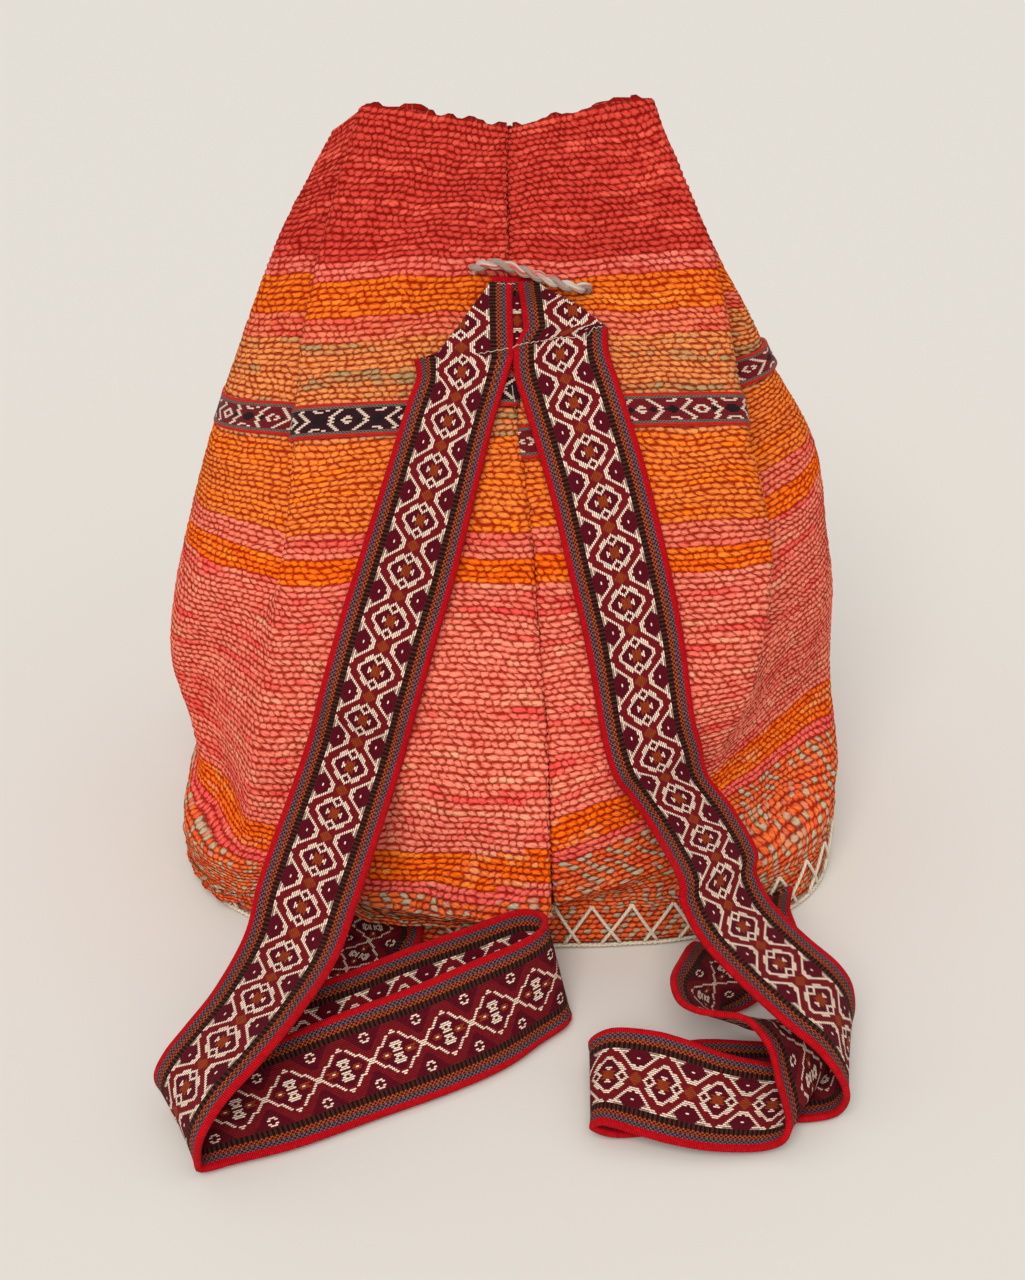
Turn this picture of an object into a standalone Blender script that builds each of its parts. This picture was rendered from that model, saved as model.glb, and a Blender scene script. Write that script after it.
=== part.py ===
"""Woven wool bucket backpack with patterned shoulder straps, standing as set down.

Units are metres and +Z is up. The origin is the middle of the base's underside.
The face that carries the straps looks along -Y.
"""
import math

import bpy
import numpy as np
from mathutils import Vector

# Cloth and yarn sizes
CLOTH_THICK = 0.003
FOLD_SLACK = 0.0025
TUCK_GAP = 0.008
SEAT_GAP = 0.0003

# Base tray: an oval of cloth with its rim turned up
BASE_LENGTH = 0.352
BASE_DEPTH = 0.250
BASE_SQUARENESS = 3.0
BASE_RIM = 0.024
BASE_POINTS = 52

# Trim band sewn round the body
BAND_TOP = 0.151
BAND_WIDTH = 0.018
BAND_THICK = 0.0014
BAND_GAP = 0.0005

# Shoulder straps
STRAP_WIDTH = 0.050
STRAP_THICK = 0.0022
STRAP_BORDER = 0.0095
STRAP_STEP = 0.016
STRAP_LIFT = 0.0038
RIM_LIFT = 0.0036

# Drawcord over the strap heads
CORD_DIAMETER = 0.005
CORD_CLEARANCE = 0.0005

# Yarn lacing round the rim of the base
LACE_DIAMETER = 0.0018
LACE_STITCHES = 50
EDGE_YARN_DIAMETER = 0.0024

# Rows of the body cloth, as distances down from the mouth
GUIDE_ROWS = (0.0, 0.08, 0.16, 0.24, 0.315, 0.38, 0.413)
NECK_ROW = 0.436
CLOTH_LENGTH = 0.445
MESH_ROWS = (0.0, 0.036, 0.072, 0.100, 0.113, BAND_TOP, BAND_TOP + BAND_WIDTH, 0.220, 0.248, 0.290,
             0.332, 0.372, 0.397, 0.413, 0.425, NECK_ROW, CLOTH_LENGTH)
ROW_COLOURS = ("red", "red", "orange", "pink", "tan", "tan", "tan", "orange", "pink", "pink",
               "pink", "orange", "mixed", "mixed", "mixed", "mixed")
NECK_RISE = 0.006

# Guide lines that the cloth hangs on, each a list of points (x, y, z) down the rows
FRONT_MIDDLE = (
    (-0.004, 0.065, 0.371), (-0.004, 0.020, 0.309), (0.001, -0.024, 0.252),
    (0.009, -0.069, 0.190), (0.014, -0.106, 0.129), (0.017, -0.136, 0.070),
    (0.018, -0.139, 0.036),
)
LEFT_RIDGE = (
    (-0.077, 0.068, 0.382), (-0.101, 0.022, 0.309), (-0.109, -0.022, 0.247),
    (-0.114, -0.065, 0.187), (-0.123, -0.095, 0.124), (-0.138, -0.098, 0.053),
    (-0.142, -0.110, 0.037),
)
RIGHT_RIDGE = (
    (0.071, 0.068, 0.386), (0.103, 0.022, 0.314), (0.115, -0.022, 0.255),
    (0.128, -0.060, 0.196), (0.118, -0.095, 0.137), (0.098, -0.103, 0.086),
    (0.101, -0.113, 0.059),
)
LEFT_SIDE = (
    (-0.094, 0.090, 0.363), (-0.129, 0.050, 0.301), (-0.155, 0.025, 0.235),
    (-0.175, 0.010, 0.175), (-0.184, 0.000, 0.110), (-0.173, -0.005, 0.050),
    (-0.182, -0.020, 0.031),
)
RIGHT_SIDE = (
    (0.068, 0.090, 0.369), (0.109, 0.055, 0.303), (0.134, 0.035, 0.264),
    (0.164, 0.030, 0.210), (0.176, 0.020, 0.143), (0.179, 0.000, 0.082),
    (0.180, -0.020, 0.049),
)
BACK_MIDDLE = (
    (-0.004, 0.115, 0.358), (-0.003, 0.124, 0.292), (0.000, 0.132, 0.230),
    (0.000, 0.137, 0.176), (0.000, 0.141, 0.124), (0.000, 0.139, 0.078),
    (0.000, 0.134, 0.050),
)

# Pleats, each a list of depths down the same rows
FRONT_PLEAT_REACH = (0.036, 0.036, 0.032, 0.026, 0.020, 0.012, 0.004)
FRONT_PLEAT_FULL = (1.0, 1.0, 1.0, 1.0, 1.0, 1.0, 0.8)
BACK_PLEAT_REACH = (0.045, 0.045, 0.035, 0.022, 0.008, 0.000, 0.000)
BACK_PLEAT_FULL = (1.0, 1.0, 1.0, 1.0, 1.0, 0.7, 0.3)
LEFT_FOLD_REACH = (0.032, 0.034, 0.026, 0.010, 0.000, 0.000, 0.000)
LEFT_FOLD_BEHIND = (0.016, 0.016, 0.014, 0.010, 0.004, 0.003, 0.003)
RIGHT_FOLD_REACH = (0.028, 0.034, 0.034, 0.024, 0.006, 0.000, 0.000)
RIGHT_FOLD_BEHIND = (0.018, 0.026, 0.040, 0.036, 0.020, 0.006, 0.003)
SIDE_BULGE_LEFT = (0.000, 0.003, 0.006, 0.010, 0.014, 0.010, 0.012)
SIDE_BULGE_RIGHT = (0.000, 0.003, 0.006, 0.008, 0.008, 0.002, 0.012)
PANEL_BULGE = (0.002, 0.003, 0.004, 0.005, 0.006, 0.005, 0.004)
LIP_GAP = 0.0023
LEFT_LIP_FORWARD = (0.001, 0.002, 0.002, 0.002, 0.003, 0.005, 0.006)
LEFT_LIP_DROP = (0.000, 0.000, 0.000, 0.000, 0.001, 0.002, 0.002)

# Where the straps' heads and runs lie on the front, as places across and rows down
LEFT_HEAD = ((-0.002, 0.0865, 0.010), (-0.0015, 0.101, 0.0195), (-0.0005, 0.1215, 0.032))
RIGHT_HEAD = ((0.0035, 0.0865, 0.0115), (0.005, 0.099, 0.026), (0.006, 0.110, 0.0385))
LEFT_LAID = ((-0.0285, 0.143), (-0.033, 0.1615), (-0.043, 0.203), (-0.054, 0.245), (-0.062, 0.271),
             (-0.072, 0.308), (-0.080, 0.338))
RIGHT_LAID = ((0.0275, 0.130), (0.030, 0.153), (0.040, 0.195), (0.049, 0.238), (0.059, 0.280),
              (0.068, 0.325), (0.075, 0.350), (0.086, 0.372))

# Edges of the straps off the bag, outer then inner, from the bag down to the loops on the floor
LEFT_FREE = (
    ((-0.120, -0.163, 0.076), (-0.074, -0.184, 0.072)), ((-0.126, -0.186, 0.058), (-0.082, -0.209, 0.061)),
    ((-0.137, -0.213, 0.048), (-0.096, -0.241, 0.057)), ((-0.149, -0.230, 0.040), (-0.111, -0.262, 0.049)),
    ((-0.158, -0.237, 0.031), (-0.126, -0.275, 0.038)), ((-0.163, -0.241, 0.021), (-0.136, -0.283, 0.024)),
    ((-0.161, -0.240, 0.011), (-0.139, -0.284, 0.010)), ((-0.152, -0.236, 0.009), (-0.137, -0.283, 0.003)),
    ((-0.138, -0.232, 0.015), (-0.123, -0.277, 0.002)), ((-0.116, -0.227, 0.024), (-0.096, -0.267, 0.002)),
    ((-0.080, -0.218, 0.036), (-0.062, -0.249, 0.002)), ((-0.046, -0.202, 0.039), (-0.029, -0.232, 0.002)),
    ((-0.020, -0.186, 0.040), (-0.004, -0.216, 0.002)), ((0.003, -0.172, 0.041), (0.013, -0.199, 0.002)),
    ((0.014, -0.160, 0.041), (0.025, -0.187, 0.002)), ((0.013, -0.150, 0.041), (0.025, -0.177, 0.002)),
    ((0.002, -0.148, 0.041), (0.011, -0.175, 0.002)), ((-0.021, -0.161, 0.041), (-0.011, -0.188, 0.002)),
    ((-0.052, -0.177, 0.040), (-0.043, -0.205, 0.002)), ((-0.080, -0.191, 0.037), (-0.070, -0.222, 0.002)),
    ((-0.104, -0.197, 0.033), (-0.092, -0.233, 0.002)), ((-0.121, -0.190, 0.030), (-0.108, -0.229, 0.002)),
    ((-0.126, -0.174, 0.026), (-0.107, -0.214, 0.002)), ((-0.118, -0.158, 0.018), (-0.086, -0.192, 0.003)),
    ((-0.105, -0.142, 0.009), (-0.062, -0.164, 0.004)),
)
RIGHT_FREE = (
    ((0.119, -0.146, 0.064), (0.081, -0.178, 0.069)), ((0.126, -0.159, 0.055), (0.089, -0.193, 0.060)),
    ((0.140, -0.178, 0.050), (0.106, -0.214, 0.052)), ((0.154, -0.193, 0.045), (0.124, -0.233, 0.045)),
    ((0.161, -0.197, 0.033), (0.140, -0.243, 0.036)), ((0.161, -0.200, 0.016), (0.152, -0.249, 0.019)),
    ((0.149, -0.198, 0.004), (0.150, -0.248, 0.004)), ((0.135, -0.202, 0.002), (0.138, -0.251, 0.002)),
    ((0.114, -0.202, 0.003), (0.117, -0.252, 0.002)), ((0.088, -0.204, 0.006), (0.093, -0.253, 0.002)),
    ((0.062, -0.209, 0.004), (0.067, -0.259, 0.002)), ((0.042, -0.212, 0.005), (0.046, -0.262, 0.003)),
    ((0.036, -0.214, 0.016), (0.035, -0.262, 0.008)), ((0.046, -0.216, 0.026), (0.040, -0.264, 0.014)),
    ((0.065, -0.222, 0.030), (0.055, -0.267, 0.011)), ((0.081, -0.225, 0.027), (0.071, -0.271, 0.009)),
    ((0.100, -0.227, 0.020), (0.090, -0.273, 0.007)), ((0.126, -0.227, 0.014), (0.113, -0.271, 0.006)),
    ((0.147, -0.222, 0.011), (0.122, -0.266, 0.013)), ((0.149, -0.208, 0.021), (0.119, -0.247, 0.023)),
    ((0.144, -0.198, 0.018), (0.117, -0.238, 0.030)), ((0.137, -0.195, 0.014), (0.113, -0.233, 0.036)),
    ((0.129, -0.193, 0.007), (0.106, -0.224, 0.038)), ((0.120, -0.192, 0.003), (0.095, -0.219, 0.036)),
    ((0.112, -0.188, 0.002), (0.085, -0.214, 0.034)), ((0.107, -0.183, 0.002), (0.077, -0.206, 0.034)),
    ((0.106, -0.177, 0.002), (0.075, -0.193, 0.037)), ((0.120, -0.169, 0.002), (0.082, -0.173, 0.034)),
    ((0.136, -0.150, 0.003), (0.090, -0.149, 0.020)), ((0.147, -0.126, 0.003), (0.102, -0.140, 0.009)),
)

# The straps' ends are turned up against the rim: outer and inner places across, and heights
LEFT_END = (-0.096, -0.047)
RIGHT_END = (0.1425, 0.0965)
END_HEIGHTS = (0.006, 0.020)

# The short piece under the heads
CROSS_ROWS = (0.083, 0.092, 0.108, 0.123, 0.132)
CROSS_PLACES = (-0.018, -0.010, 0.000, 0.010, 0.020)

# Drawcord: place across, row and height of its middle above the cloth
CORD_PATH = ((-0.019, 0.078, 0.003), (-0.015, 0.0775, 0.0075), (-0.006, 0.0768, 0.0085), (0.004, 0.0772, 0.0085),
             (0.014, 0.0790, 0.0085), (0.024, 0.0830, 0.0085), (0.033, 0.0880, 0.0075), (0.037, 0.0905, 0.003))

# Lacing heights
LACE_LOW = 0.0042
LACE_HIGH = 0.0265

# Wool colours
WOOL = {
    "red": (0.55, 0.08, 0.06),
    "pink": (0.66, 0.16, 0.12),
    "orange": (0.78, 0.24, 0.04),
    "tan": (0.60, 0.24, 0.09),
    "mixed": (0.62, 0.17, 0.06),
}

FOLD = 2.0 * CLOTH_THICK + FOLD_SLACK


def row_slopes(values):
    """Slope of a guide at each of its rows, for a smooth curve through them."""
    rows = np.array(GUIDE_ROWS)
    values = np.array(values, dtype=float)
    steps = np.diff(rows)
    rises = (np.diff(values, axis=0).T / steps).T
    slopes = np.empty_like(values)
    slopes[0] = rises[0]
    slopes[-1] = rises[-1]
    for index in range(1, len(rows) - 1):
        before = steps[index - 1]
        after = steps[index]
        slopes[index] = (rises[index - 1] * after + rises[index] * before) / (before + after)
    return slopes


def guide(values, row):
    """Value of a guide at a distance down the cloth, on a smooth curve through its rows."""
    rows = GUIDE_ROWS
    row = min(max(row, rows[0]), rows[-1])
    index = 0
    while index < len(rows) - 2 and row > rows[index + 1]:
        index += 1
    step = rows[index + 1] - rows[index]
    t = (row - rows[index]) / step
    slopes = row_slopes(values)
    start = np.array(values[index], dtype=float)
    end = np.array(values[index + 1], dtype=float)
    return ((2 * t ** 3 - 3 * t ** 2 + 1) * start + (t ** 3 - 2 * t ** 2 + t) * step * slopes[index]
            + (3 * t ** 2 - 2 * t ** 3) * end + (t ** 3 - t ** 2) * step * slopes[index + 1])


def inward_of(values, row):
    """Direction straight into the bag, square to a guide line that runs down its front."""
    run = guide(values, row + 0.012) - guide(values, row - 0.012)
    inward = np.array((0.0, -run[2], run[1]))
    return inward / np.linalg.norm(inward)


def oval(angle, grow=0.0):
    """Point of the base's outline at an angle, grown outwards by a margin."""
    half_x = BASE_LENGTH / 2 + grow
    half_y = BASE_DEPTH / 2 + grow
    power = 2.0 / BASE_SQUARENESS
    cosine = math.cos(angle)
    sine = math.sin(angle)
    return np.array((half_x * math.copysign(abs(cosine) ** power, cosine),
                     half_y * math.copysign(abs(sine) ** power, sine)))


def oval_outline(count, grow=0.0):
    """Points of the base's outline, evenly spaced along it."""
    fine = [oval(2 * math.pi * i / 1440, grow) for i in range(1441)]
    lengths = [0.0]
    for before, after in zip(fine, fine[1:]):
        lengths.append(lengths[-1] + float(np.linalg.norm(after - before)))
    fine = np.array(fine)
    targets = np.linspace(0.0, lengths[-1], count + 1)[:-1]
    return np.column_stack([np.interp(targets, lengths, fine[:, axis]) for axis in (0, 1)])


def grow_loop(loop, margin):
    """Flat closed outline moved straight outwards at each of its points."""
    run = np.roll(loop, -1, axis=0) - np.roll(loop, 1, axis=0)
    outward = np.column_stack((run[:, 1], -run[:, 0]))
    return loop + outward / np.linalg.norm(outward, axis=1)[:, None] * margin


def mix(a, b, share):
    return a + (b - a) * share


def half_section(row, side):
    """Control points of one half of a row, from the front pleat round to the back pleat."""
    sign = -1.0 if side == "left" else 1.0
    ridge = guide(LEFT_RIDGE if side == "left" else RIGHT_RIDGE, row)
    flank = guide(LEFT_SIDE if side == "left" else RIGHT_SIDE, row)
    reach = guide(LEFT_FOLD_REACH if side == "left" else RIGHT_FOLD_REACH, row)
    behind = guide(LEFT_FOLD_BEHIND if side == "left" else RIGHT_FOLD_BEHIND, row)
    bulge = guide(SIDE_BULGE_LEFT if side == "left" else SIDE_BULGE_RIGHT, row)
    middle = guide(FRONT_MIDDLE, row)
    back = guide(BACK_MIDDLE, row)
    out = np.array((sign, 0.0, 0.0))
    inward = inward_of(FRONT_MIDDLE, row)
    tucked = inward_of(LEFT_RIDGE if side == "left" else RIGHT_RIDGE, row)
    rearward = np.array((0.0, 1.0, 0.0))
    up = np.array((0.0, 0.0, 1.0))

    full = guide(FRONT_PLEAT_FULL, row)
    pleat = guide(FRONT_PLEAT_REACH, row)
    lip = middle + out * LIP_GAP
    if side == "left":
        lip = lip - inward * guide(LEFT_LIP_FORWARD, row) - up * guide(LEFT_LIP_DROP, row)
    under = inward * FOLD * full
    deep = inward * (FOLD + TUCK_GAP) * full
    points = [
        middle + out * (LIP_GAP + pleat) + deep,
        middle + out * (LIP_GAP + pleat) + under,
        lip + under,
        lip,
    ]

    puff = inward * guide(PANEL_BULGE, row)
    points += [
        mix(lip, ridge, 0.15) - puff * 0.4,
        mix(lip, ridge, 0.50) - puff,
        mix(lip, ridge, 0.85) - puff * 0.5,
        ridge,
    ]

    # A fold weight of one hides the cloth behind the ridge, and zero runs it straight on
    weight = min(1.0, reach / 0.012)
    emerge = ridge + rearward * behind + up * (flank[2] - ridge[2]) * 0.3
    straight = [mix(ridge, flank, share) for share in (0.12, 0.26, 0.40, 0.55)]
    folded = [
        ridge + tucked * FOLD,
        ridge + tucked * FOLD - out * reach,
        ridge + tucked * (FOLD + TUCK_GAP) + rearward * max(0.0, behind - FOLD - TUCK_GAP) - out * reach,
        emerge,
    ]
    points += [mix(a, b, weight) for a, b in zip(straight, folded)]
    swell = (out - rearward) * bulge * 0.7
    points.append(mix(points[-1], flank, 0.55) + swell)
    points.append(flank)

    corner = np.array((mix(back[0], flank[0], 0.88), mix(flank[1], back[1], 0.72), mix(flank[2], back[2], 0.7)))
    turn = np.array((mix(back[0], flank[0], 0.62), back[1] + 0.001, mix(flank[2], back[2], 0.9)))
    points += [mix(flank, corner, 0.45) + out * 0.002, corner, turn]

    back_full = guide(BACK_PLEAT_FULL, row)
    back_reach = guide(BACK_PLEAT_REACH, row)
    back_lip = back + out * LIP_GAP
    back_under = -rearward * FOLD * back_full
    back_deep = -rearward * (FOLD + TUCK_GAP) * back_full
    points += [
        mix(turn, back_lip, 0.6),
        back_lip,
        back_lip + back_under,
        back + out * (LIP_GAP + back_reach) + back_under,
        back + out * (LIP_GAP + back_reach) + back_deep,
    ]
    return points


def row_control(row):
    """Closed loop of control points for one row of the cloth."""
    middle = guide(FRONT_MIDDLE, row)
    back = guide(BACK_MIDDLE, row)
    deep = (FOLD + TUCK_GAP)
    front = middle + inward_of(FRONT_MIDDLE, row) * deep * guide(FRONT_PLEAT_FULL, row)
    rear = back - np.array((0.0, deep * guide(BACK_PLEAT_FULL, row), 0.0))
    left = half_section(row, "left")
    right = half_section(row, "right")
    return np.array([front] + left + [rear] + right[::-1])


def seam_control(row):
    """Control points where the cloth is gathered on to the rim of the base."""
    loop = row_control(GUIDE_ROWS[-1])
    share = (row - NECK_ROW) / (CLOTH_LENGTH - NECK_ROW)
    height = BASE_RIM + SEAT_GAP + NECK_RISE * (1.0 - share)
    legs = np.linalg.norm(np.roll(loop, -1, axis=0)[:, :2] - loop[:, :2], axis=1)
    walk = np.concatenate(((0.0,), np.cumsum(legs)))
    outline = oval_outline(720)
    start = int(np.argmin(outline[:, 1] + 1e3 * (np.abs(outline[:, 0]) > 0.004)))
    outline = np.roll(outline[::-1], start + 1, axis=0)
    steps = np.linalg.norm(np.roll(outline, -1, axis=0) - outline, axis=1)
    around = np.concatenate(((0.0,), np.cumsum(steps)))
    closed = np.vstack((outline, outline[:1]))
    targets = walk[:-1] / walk[-1] * around[-1]
    flat = np.column_stack([np.interp(targets, around, closed[:, axis]) for axis in (0, 1)])
    return np.column_stack((flat, np.full(len(flat), height)))


def control(row):
    """Control points of any row, down to the seam on the base."""
    last = GUIDE_ROWS[-1]
    if row <= last:
        return row_control(row)
    if row >= NECK_ROW:
        return seam_control(row)
    share = (row - last) / (NECK_ROW - last)
    return mix(row_control(last), seam_control(NECK_ROW), share)


def smooth_loop(points, per_point):
    """Round a closed control loop into a curve that keeps to its legs' middles."""
    before = 0.5 * (np.roll(points, 1, axis=0) + points)
    after = 0.5 * (np.roll(points, -1, axis=0) + points)
    result = []
    for first, corner, last in zip(before, points, after):
        for step in range(per_point):
            t = step / per_point
            result.append((1 - t) ** 2 * first + 2 * t * (1 - t) * corner + t ** 2 * last)
    return np.array(result)


def remove_everything():
    for item in list(bpy.data.objects):
        bpy.data.objects.remove(item, do_unlink=True)


def material(name, colour, roughness):
    made = bpy.data.materials.new(name)
    made.use_nodes = True
    shader = made.node_tree.nodes["Principled BSDF"]
    shader.inputs["Base Color"].default_value = (*colour, 1.0)
    shader.inputs["Roughness"].default_value = roughness
    shader.inputs["Metallic"].default_value = 0.0
    made.diffuse_color = (*colour, 1.0)
    return made


def add_mesh(name, points, faces, collection, finishes, slots=None):
    mesh = bpy.data.meshes.new(name)
    mesh.from_pydata([tuple(float(c) for c in p) for p in points], [], faces)
    mesh.update()
    for finish in finishes:
        mesh.materials.append(finish)
    if slots:
        for face, slot in zip(mesh.polygons, slots):
            face.material_index = slot
    made = bpy.data.objects.new(name, mesh)
    collection.objects.link(made)
    mesh.shade_smooth()
    return made


def loft(rows, closed_round=True, flip=False):
    """Faces of a grid of points, one list of points a row."""
    count = len(rows[0])
    spans = count if closed_round else count - 1
    faces = []
    for low in range(len(rows) - 1):
        for column in range(spans):
            ahead = (column + 1) % count
            face = (low * count + column, (low + 1) * count + column,
                    (low + 1) * count + ahead, low * count + ahead)
            faces.append(face[::-1] if flip else face)
    return np.vstack(rows), faces


def thicken(made, thickness, even=False):
    solid = made.modifiers.new("Thickness", "SOLIDIFY")
    solid.thickness = thickness
    solid.offset = -1.0
    solid.use_even_offset = even
    return solid


BODY_ROWS = [smooth_loop(control(row), 2) for row in MESH_ROWS]


def left_ridge_column():
    """Column of the mesh that runs down the left ridge."""
    loop = BODY_ROWS[5]
    ridge = guide(LEFT_RIDGE, MESH_ROWS[5])
    return int(np.argmin(np.linalg.norm(loop - ridge, axis=1)))


def body_loop(row):
    """One row of the body as it is meshed, straight between the rows of the mesh."""
    index = 0
    while index < len(MESH_ROWS) - 2 and row > MESH_ROWS[index + 1]:
        index += 1
    share = (row - MESH_ROWS[index]) / (MESH_ROWS[index + 1] - MESH_ROWS[index])
    return mix(BODY_ROWS[index], BODY_ROWS[index + 1], share)


def front_point(x, row):
    """Foremost point of the bag at a place across its front, a little smoothed over the folds."""
    loop = body_loop(row)
    ahead = np.roll(loop, -1, axis=0)
    best = None
    for place in (x - 0.005, x, x + 0.005):
        crosses = (loop[:, 0] - place) * (ahead[:, 0] - place) <= 0
        for a, b in zip(loop[crosses], ahead[crosses]):
            run = b[0] - a[0]
            share = 0.5 if abs(run) < 1e-9 else (place - a[0]) / run
            point = mix(a, b, share)
            if best is None or point[1] < best[1]:
                best = point
    return np.array((x, best[1], best[2]))


def front_outward(x, row):
    """Direction straight out of the bag's front at a place."""
    across = front_point(x + 0.012, row) - front_point(x - 0.012, row)
    down = front_point(x, row + 0.02) - front_point(x, row - 0.02)
    outward = np.cross(down, across)
    return outward / np.linalg.norm(outward)


def laid_section(x, row, lift):
    """Point a set height above the bag's front."""
    return front_point(x, row) + front_outward(x, row) * lift


def strap_columns(visible):
    """Distances across a strap from its inner edge, outer edge first, up to a folded edge."""
    columns = (STRAP_WIDTH, STRAP_WIDTH - STRAP_BORDER, STRAP_WIDTH / 2, STRAP_BORDER, 0.0)
    limits = [visible - 0.0015 * index for index in range(4)] + [0.0]
    return [min(column, limit) for column, limit in zip(columns, limits)]


def head_sections(heads, side):
    """Sections of the strap's head, level across, where its outer part is folded away."""
    sections = []
    for inner, row, visible in heads:
        sections.append([laid_section(inner + side * distance, row, STRAP_LIFT + STRAP_THICK)
                         for distance in strap_columns(visible)])
    return sections


def laid_sections(centres, side):
    """Sections of the strap where it lies on the bag, square to its run."""
    sections = []
    for index, (x, row) in enumerate(centres):
        before = centres[max(index - 1, 0)]
        after = centres[min(index + 1, len(centres) - 1)]
        run = np.array((after[0] - before[0], after[1] - before[1]))
        run /= np.linalg.norm(run)
        square = side * np.array((run[1], -run[0]))
        section = []
        for distance in strap_columns(STRAP_WIDTH * 2):
            offset = square * (distance - STRAP_WIDTH / 2)
            section.append(laid_section(x + offset[0], row + offset[1], STRAP_LIFT + STRAP_THICK))
        sections.append(section)
    return sections


def free_sections(edges):
    """Sections of the strap off the bag, straight between its two edges."""
    sections = []
    for outer, inner in edges:
        outer = np.array(outer)
        inner = np.array(inner)
        sections.append([mix(inner, outer, distance / STRAP_WIDTH)
                         for distance in strap_columns(STRAP_WIDTH * 2)])
    return sections


def rim_section(outer_x, inner_x, height):
    """Section of a strap's end, laid along the front of the base's rim."""
    section = []
    for distance in strap_columns(STRAP_WIDTH * 2):
        x = mix(inner_x, outer_x, distance / STRAP_WIDTH)
        half = BASE_LENGTH / 2
        y = -BASE_DEPTH / 2 * (1.0 - (abs(x) / half) ** BASE_SQUARENESS) ** (1.0 / BASE_SQUARENESS)
        slope = np.array((x / half) * abs(x / half) / half)
        out = np.array((float(slope), -(abs(y) / (BASE_DEPTH / 2)) ** 2 / (BASE_DEPTH / 2)))
        out /= np.linalg.norm(out)
        section.append(np.array((x + out[0] * RIM_LIFT, y + out[1] * RIM_LIFT, height)))
    return section


def run_smoothly(sections, step):
    """Sections resampled along a smooth curve through those given, at about a set step."""
    sections = np.array(sections)
    count = len(sections)
    result = []
    for index in range(count - 1):
        p0 = sections[max(index - 1, 0)]
        p1 = sections[index]
        p2 = sections[index + 1]
        p3 = sections[min(index + 2, count - 1)]
        length = float(np.max(np.linalg.norm(p2 - p1, axis=1)))
        parts = max(1, int(round(length / step)))
        for part in range(parts):
            t = part / parts
            result.append(0.5 * (2 * p1 + (p2 - p0) * t + (2 * p0 - 5 * p1 + 4 * p2 - p3) * t ** 2
                                 + (3 * p1 - p0 - 3 * p2 + p3) * t ** 3))
    result.append(sections[-1])
    return result


def make_body(collection):
    """The striped tube of cloth, pleated at the mouth and gathered on to the base."""
    names = sorted(set(ROW_COLOURS))
    finishes = [material("wool_" + name, WOOL[name], 0.9) for name in names]
    points, faces = loft(BODY_ROWS, flip=True)
    columns = len(BODY_ROWS[0])
    slots = [names.index(ROW_COLOURS[index // columns]) for index in range(len(faces))]
    made = add_mesh("bag_body", points, faces, collection, finishes, slots)
    thicken(made, CLOTH_THICK)
    return made


def make_base(collection):
    """The oval base, with its rim turned up to take the body."""
    outline = oval_outline(BASE_POINTS)
    rows = [np.column_stack((outline, np.full(len(outline), height))) for height in (BASE_RIM, 0.0)]
    points, faces = loft(rows)
    bottom = tuple(range(len(outline), 2 * len(outline)))
    faces.append(bottom[::-1])
    made = add_mesh("base_panel", points, faces, collection, [material("wool_base", WOOL["mixed"], 0.9)])
    thicken(made, CLOTH_THICK, even=True)
    return made


def make_trim_band(collection):
    """The narrow woven band round the body, its two ends meeting at the left ridge."""
    rows = []
    for row in (BAND_TOP, BAND_TOP + BAND_WIDTH):
        loop = body_loop(row)
        before = loop - np.roll(loop, 1, axis=0)
        after = np.roll(loop, -1, axis=0) - loop
        run = before / np.linalg.norm(before, axis=1)[:, None] + after / np.linalg.norm(after, axis=1)[:, None]
        down = body_loop(BAND_TOP + BAND_WIDTH) - body_loop(BAND_TOP)
        outward = np.cross(run, down)
        outward /= np.linalg.norm(outward, axis=1)[:, None]
        raised = loop + outward * (BAND_GAP + BAND_THICK)
        raised = np.roll(raised, 4 - left_ridge_column(), axis=0)
        end = mix(raised[0], raised[-1], 0.12)
        rows.append(np.vstack((raised, end[None, :])))
    points, faces = loft(rows, closed_round=False, flip=True)
    made = add_mesh("trim_band", points, faces, collection, [material("woven_band", (0.22, 0.03, 0.04), 0.9)])
    thicken(made, BAND_THICK)
    return made


def make_strap(name, sections, collection, finishes, flip):
    """A strap of tape through its sections, with a band of colour at each border."""
    rows = run_smoothly(sections, STRAP_STEP)
    points, faces = loft(rows, closed_round=False, flip=flip)
    slots = [(0, 1, 1, 0)[index % 4] for index in range(len(faces))]
    made = add_mesh(name, points, faces, collection, finishes, slots)
    solid = thicken(made, STRAP_THICK)
    solid.material_offset_rim = 2
    return made


def make_cross_piece(collection, finishes):
    """The short piece of strap that lies level under the two heads."""
    rows = []
    for row in CROSS_ROWS:
        rows.append([laid_section(x, row, SEAT_GAP + STRAP_THICK) for x in CROSS_PLACES])
    points, faces = loft(rows, closed_round=False)
    width = len(CROSS_PLACES) - 1
    slots = [(0, 1, 1, 0)[index // width] for index in range(len(faces))]
    made = add_mesh("strap_cross_piece", points, faces, collection, finishes, slots)
    solid = thicken(made, STRAP_THICK)
    solid.material_offset_rim = 2
    return made


def add_cord(name, runs, diameter, sides, collection, finish):
    """Round yarn along runs of points, each point with its share of the full radius."""
    curve = bpy.data.curves.new(name, "CURVE")
    curve.dimensions = "3D"
    curve.bevel_depth = diameter / 2
    curve.bevel_resolution = sides
    curve.use_fill_caps = True
    for points, closed in runs:
        line = curve.splines.new("POLY")
        line.points.add(len(points) - 1)
        line.use_cyclic_u = closed
        for target, (point, radius) in zip(line.points, points):
            target.co = (*[float(c) for c in point], 1.0)
            target.radius = radius
    curve.materials.append(finish)
    made = bpy.data.objects.new(name, curve)
    collection.objects.link(made)
    return made


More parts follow.
